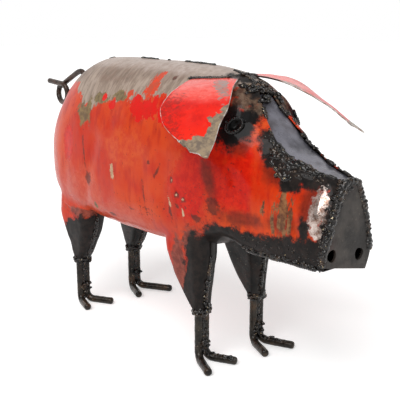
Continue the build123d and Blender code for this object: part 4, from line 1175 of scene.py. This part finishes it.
for side, sign in (("left", 1), ("right", -1)):
    x = np.arange(*[alongAt(share) for share in weld["jaw"]], 3.0)
    y = sign * sideReach(x, jawLevel(x)) + noseShift(x)
    line = np.stack([x, y, jawLevel(x) - 0.5 + 0.3 * lumps(np.stack([x, y, y], 1), 7)], 1)
    spots = [(onCheek(a, sign, float(jawLevel(a)) + b, -0.2), c)
             for a, b, c in scatter("jawSpatter", sign)]
    spots += [(onCheek(a, sign, float(jawLevel(a)) + b, -0.3), c)
              for a, b, c in scatter("jawCrust", sign)]
    addWeld(side + "JawWeld", side + "_jaw_weld",
            [weldMesh(line, weld["fine"], weld["pitch"], seed=21.0 + sign),
             crustMesh(spots, 2.0 + sign)])
    line = []
    for share in np.linspace(-0.16, 0.15, 12):  # where the ear comes out of the back
        x = earX + share * ear["length"]
        y = np.linspace(0, body["halfWidth"], 400)
        out = y[np.argmax(earHeight(x, y) >= roofHeight(x, y))]
        line.append((x, sign * (out - 0.8), float(roofHeight(x, out))))
    spots = [(np.array(line[int(a)]) + (b, sign * c, 0.3), d)
             for a, b, c, d in scatter("earRoot", sign)]
    addWeld(side + "EarWeld", side + "_ear_weld",
            [weldMesh(line, weld["fine"], 1.6, seed=31.0 + sign), crustMesh(spots, 3.0 + sign)])

snoutBead = {
    "foot": 0.10, "inset": 2.0, "step": 2.2, "forward": 3.5,
    # the bead runs outside the near nostril: how far, and over which heights
    "aside": 3.2, "asideHeights": (8, 24), "nearRadius": 1.1, "farRadius": 0.9,
    # share of the height, then how far in the heavy crust starts or ends there
    "crustFrom": [(0.06, -4.0), (0.35, -1.0), (0.55, -0.5), (0.78, 0.0), (0.97, 0.5)],
    "crustTo": [(0.06, -1.0), (0.22, 2.0), (0.35, 4.0), (0.55, 5.0), (0.78, 8.0), (0.97, 9.5)],
}
feet = [snoutEdge(sign, snoutBead["foot"] * snoutTall, snoutBead["inset"]) for sign in (1, -1)]
rim, _ = evenLine([onSnout(a, b, 1.0) for a, b in snoutOutline(snoutBead["inset"], feet)],
                  snoutBead["step"])
low = 1 - eased(rim[:, 2] - body["jaw"], *snoutBead["asideHeights"])
rim[:, 1] -= snoutBead["aside"] * low * (rim[:, 1] < snoutMiddle)
spots = []
for spot, (across, lift, radius) in zip(rim, scatter("snoutBead", count=len(rim))):
    near = spot[1] < snoutMiddle  # this side is the heavier one
    radius = radius * (snoutBead["nearRadius"] if near else snoutBead["farRadius"])
    spots.append((spot + (lift, across, across), radius))
spots += [(onSnout(snoutMiddle + a, snoutTall - b, -0.6), c) for a, b, c in scatter("snoutTop")]
spots += [(onSnout(*snoutEdge(-1, share * snoutTall, inset), -0.4), radius)
          for share, inset, radius in weld["drops"]]
spots += [(onCheek(a, -1, b, -0.5), c) for a, b, c in scatter("nearCheek")]
for a, b, c in scatter("plateEdge"):  # heavy crust over the near edge of the plate
    low, high = [np.interp(b, *zip(*snoutBead[key])) for key in ("crustFrom", "crustTo")]
    spot = snoutEdge(-1, b * snoutTall, float(low + (high - low) * a))
    room = snout["nostril"] / 2 + 1.1 * c + 0.4
    if min(math.dist(spot, nostril) for nostril in nostrils) >= room:
        spots.append((onSnout(*spot, 0.9 + 0.5 * (1 - a)), c * (1 - 0.35 * a)))
spots += [(onCheek(a, 1, b, -0.3), c) for a, b, c in scatter("farCheek")]
points, faces = joined([weldMesh(rim, weld["bead"] * 0.92, 3.1, roughness=0.6, seed=41.0,
                                 sides=14), crustMesh(spots, 5.0)])
points[:, 0] = np.minimum(points[:, 0], snoutX + snoutBead["forward"])
addPiece({**weld, "name": "snoutWeld", "nodes": ["snout_weld"]}, (points, faces))

# Burnt crust beside the forehead plate: first place and length, where and how widely it
# is heaviest, then how far off the plate it starts and spreads.
brow = {"near": (221, 50), "far": (214, 66), "heaviest": (240, 16), "nearOff": (1.2, 3.0, 5.6),
        "farOff": (1.4, 4.0), "tackHalf": 3.4}
runs, spots = [], []
for i, share in enumerate(weld["tacks"]):
    for sign in (1, -1):
        x = alongAt(share) + np.linspace(-brow["tackHalf"], brow["tackHalf"], 5)
        y = noseShift(x) + sign * (bridgeHalf(x) + 0.35)
        line = np.stack([x, y, bridgeHeight(x) + 0.6], 1)
        runs.append(weldMesh(line, weld["fine"] * 1.1, 1.7, seed=50.0 + i))
for i, (off, radius, start, end) in enumerate(weld["folds"]):
    x = np.linspace(start, end, 24)
    offs = bridgeHalf(x) + off + 1.3 * lumpsAlong(x, 6, 5.0 + i)
    runs.append(weldMesh([onRoof(a, -float(b), -0.4) for a, b in zip(x, offs)], radius, 5.5,
                         roughness=1.0, seed=55.0 + i, sides=12))
for a, b, c in scatter("nearBrow"):  # over and beside the folds
    x = brow["near"][0] + brow["near"][1] * a**0.9
    heavy = math.exp(-(((x - brow["heaviest"][0]) / brow["heaviest"][1]) ** 2))
    first, least, most = brow["nearOff"]
    off = float(bridgeHalf(x)) + first + (least + most * heavy) * b
    radius = 0.7 + 2.3 * c * c * (0.5 + heavy) * (1 - 0.4 * b)
    spots.append((onRoof(x, -off, -0.9 + 1.1 * heavy * (1 - b)), radius))
for a, b, c in scatter("farBrow"):
    x = brow["far"][0] + brow["far"][1] * a
    off = float(bridgeHalf(x)) + brow["farOff"][0] + brow["farOff"][1] * b * b
    spots.append((onRoof(x, off, -0.3), 0.7 + 1.5 * c))
spots += [(onRoof(a, b, -0.1), c) for a, b, c in scatter("crown")]  # between the ears
addWeld("foreheadWelds", "forehead_welds", [*runs, crustMesh(spots, 8.0)])


def loopAround(centre, first, second, radiusA, radiusB):
    turn = np.linspace(0, 2 * math.pi, 28, endpoint=False)
    return [centre + first * radiusA * math.cos(t) + second * radiusB * math.sin(t) for t in turn]


x, z = eye["place"]
for side, sign in (("left", 1), ("right", -1)):
    middle = onCheek(x, sign, z)
    first, second = onCheek(x + 1, sign, z) - middle, onCheek(x, sign, z + 1) - middle
    first, second = first / np.linalg.norm(first), second / np.linalg.norm(second)
    loop = loopAround(middle, first, second, eye["radius"], eye["radius"] * eye["tall"])
    spots = []
    for t in np.linspace(0.5, 6.0, 13):
        reach = eye["radius"] + 0.9 + 0.7 * math.sin(3 * t)
        spot = middle + (first * math.cos(t) + second * math.sin(t)) * reach
        spots.append((spot, 0.8 + 0.35 * math.sin(5 * t)))
    addPiece({**eye, "name": side + "EyeRing", "nodes": [side + "_eye_ring"]},
             joined([weldMesh(loop, eye["bead"], 2.1, seed=60.0 + sign, closed=True),
                     crustMesh(spots, 9.0)]))

legWeld = {
    # height of the knee, half sizes of its ring and of the crust on it, radius of the bead
    "knee": 41.6, "ring": (4.4, 7.4), "crust": (4.4, 7.2, 2.4), "ringBead": 1.7,
    # runs down between the bars: how far forward, lowest and highest place, radius
    "fill": (1.5, 18, 44, 1.8), "groove": (1.6, 10.4, 19.4, 2.4),
    # front seam: shares of the cone's height, then heights of its crust
    "seam": (0.09, 0.62), "seamCrust": (46, 84),
}


def legFront(name, z):  # foremost place of a leg's cone
    middle, half, _, _ = coneAt(name, z)
    return float(middle + half)


def legRun(x, y, spec, count, pitch, **extra):
    forward, lowest, highest, radius = spec
    line = [(x + forward, y, z) for z in np.linspace(lowest, highest, count)]
    return weldMesh(line, radius, pitch, **extra)


for i, (name, leg) in enumerate(legs.items()):
    x, y = leg["place"]
    title = name.replace("_", "-")
    knee, (wide, deep, tall) = legWeld["knee"], legWeld["crust"]
    ring = loopAround(np.array([x, y, knee]), np.array([1.0, 0, 0]), np.array([0, 1.0, 0]),
                      *legWeld["ring"])
    spots = []
    for t in np.linspace(0, 6.1, 22):
        spot = (x + wide * math.cos(t), y + deep * math.sin(t), knee + tall * math.sin(7 * t))
        spots.append((spot, 1.5 + 0.9 * math.sin(3 * t + i) ** 2))
    spots += [((x + 1.6 + a, y + b, c), d) for a, b, c, d in scatter("knee", i)]
    addWeld(title + "-knee", name + "_knee_weld",
            [weldMesh(ring, legWeld["ringBead"], 2.4, seed=70.0 + i, closed=True),
             crustMesh(spots, 12.0 + i),
             legRun(x, y, legWeld["fill"], 9, 3.4, roughness=0.6, seed=75.0 + i)])
    spots = [((x + a, y + b, c), d) for a, b, c, d in scatter("ankle", i)]
    if name in weld["toes"]:
        start, end = [np.array(place) for place in weld["toes"][name]]
        spots += [(start + (end - start) * a + (0, b, 0.6 * c), 1.0 + 0.9 * c)
                  for a, b, c in scatter("toe", i)]
    addWeld(title + "-ankle", name + "_ankle_weld",
            [legRun(x, y, legWeld["groove"], 5, 2.2, roughness=0.5, seed=80.0 + i),
             crustMesh(spots, 20.0 + i)])
    low, high = [cone["foot"] + share * cone["height"] for share in legWeld["seam"]]
    line = [(legFront(name, z), y, z) for z in np.linspace(low, high, 9)]
    offs, radii = scatter("seamOff", i)[:, 0], scatter("seamRadius", i)[:, 0]
    spots = [((legFront(name, z), y + off, z), radius)
             for z, off, radius in zip(np.linspace(*legWeld["seamCrust"], len(offs)), offs, radii)]
    addWeld(title + "-seam", name + "_seam_weld",
            [weldMesh(line, weld["fine"], 1.9, seed=90.0 + i), crustMesh(spots, 30.0 + i)])

collar = [route[0] + (route[1] - route[0]) * share for share in np.linspace(0.2, 0.95, 6)]
addWeld("tailWeld", "tail_weld", [weldMesh(collar, 4.4, 3.0, seed=99.0, sides=16)])
print("welds done")


studio = {
    "floorSize": 8.0, "floor": 0.84, "floorGlow": 0.36, "back": 0.62, "front": 0.20,
    # way the light goes, softness in degrees, strength
    "suns": {"window": ((-0.30, 0.62, -0.74), 42, 2.3), "fill": ((-0.85, 0.30, -0.45), 50, 0.5)},
    "azimuth": 50.04, "elevation": 13.7, "focal": 73.9, "place": (615.5, -405.0, 270.0),
}

bpy.ops.mesh.primitive_plane_add(size=studio["floorSize"], location=(0, 0, -0.0002))
floor = bpy.context.object
floor.name = "floor"
paper = bpy.data.materials.new("whitePaper")
paper.use_nodes = True
tree = paper.node_tree
shader = tree.nodes["Principled BSDF"]
shader.inputs["Roughness"].default_value = 0.9
shader.inputs["Specular IOR Level"].default_value = 0.0
tone = studio["floor"]
feed(tree, shader.inputs["Base Color"],
     blendColour(tree, grain(tree, 300.0, 2.0), (tone, tone, tone, 1),
                 (tone, tone * 0.99, tone * 0.98, 1)))
rays = addNode(tree, "ShaderNodeLightPath")
seen = calc(tree, "MAXIMUM", rays.outputs["Is Camera Ray"], rays.outputs["Is Transmission Ray"])
seen = calc(tree, "MAXIMUM", seen, rays.outputs["Is Glossy Ray"])
shader.inputs["Emission Color"].default_value = (1, 1, 1, 1)
feed(tree, shader.inputs["Emission Strength"], times(tree, seen, studio["floorGlow"]))
floor.data.materials.append(paper)

world = bpy.data.worlds.new("studio")
bpy.context.scene.world = world
world.use_nodes = True
tree = world.node_tree
sky = tree.nodes["Background"]
rays = addNode(tree, "ShaderNodeLightPath")
seen = calc(tree, "MAXIMUM", rays.outputs["Is Camera Ray"], rays.outputs["Is Transmission Ray"])
way = addNode(tree, "ShaderNodeSeparateXYZ")
feed(tree, way.inputs[0], addNode(tree, "ShaderNodeTexCoord").outputs["Generated"])
# the room is white behind and above, darker in front, so that black metal stays black
toFront = calc(tree, "SUBTRACT", times(tree, way.outputs[0], 0.766),
               times(tree, way.outputs[1], 0.643))
room = stepAt(tree, toFront, -0.15, 0.45, studio["back"], studio["front"])
behind = times(tree, rays.outputs["Is Glossy Ray"], stepAt(tree, toFront, -0.5, -0.1, 1.0, 0.0))
seen = calc(tree, "MAXIMUM", seen, behind)
feed(tree, sky.inputs["Color"], (1.0, 1.0, 1.0, 1.0))
feed(tree, sky.inputs["Strength"], blendNumber(tree, seen, room, 1.0))

for name, (way, angle, power) in studio["suns"].items():
    lamp = bpy.data.lights.new(name, "SUN")
    lamp.energy = power
    lamp.angle = math.radians(angle)
    holder = bpy.data.objects.new(name, lamp)
    bpy.context.scene.collection.objects.link(holder)
    holder.rotation_euler = Vector(way).to_track_quat("-Z", "Y").to_euler()

cameraData = bpy.data.cameras.new("camera")
cameraData.lens = studio["focal"]
cameraData.sensor_width = 36.0
camera = bpy.data.objects.new("camera", cameraData)
bpy.context.scene.collection.objects.link(camera)
camera.location = placed(studio["place"])
azimuth, elevation = math.radians(studio["azimuth"]), math.radians(studio["elevation"])
ahead = Vector((-math.sin(azimuth) * math.cos(elevation),
                math.cos(azimuth) * math.cos(elevation), -math.sin(elevation)))
camera.rotation_euler = ahead.to_track_quat("-Z", "Y").to_euler()
bpy.context.scene.camera = camera
bpy.context.scene.view_settings.view_transform = "Standard"
print("stage done")
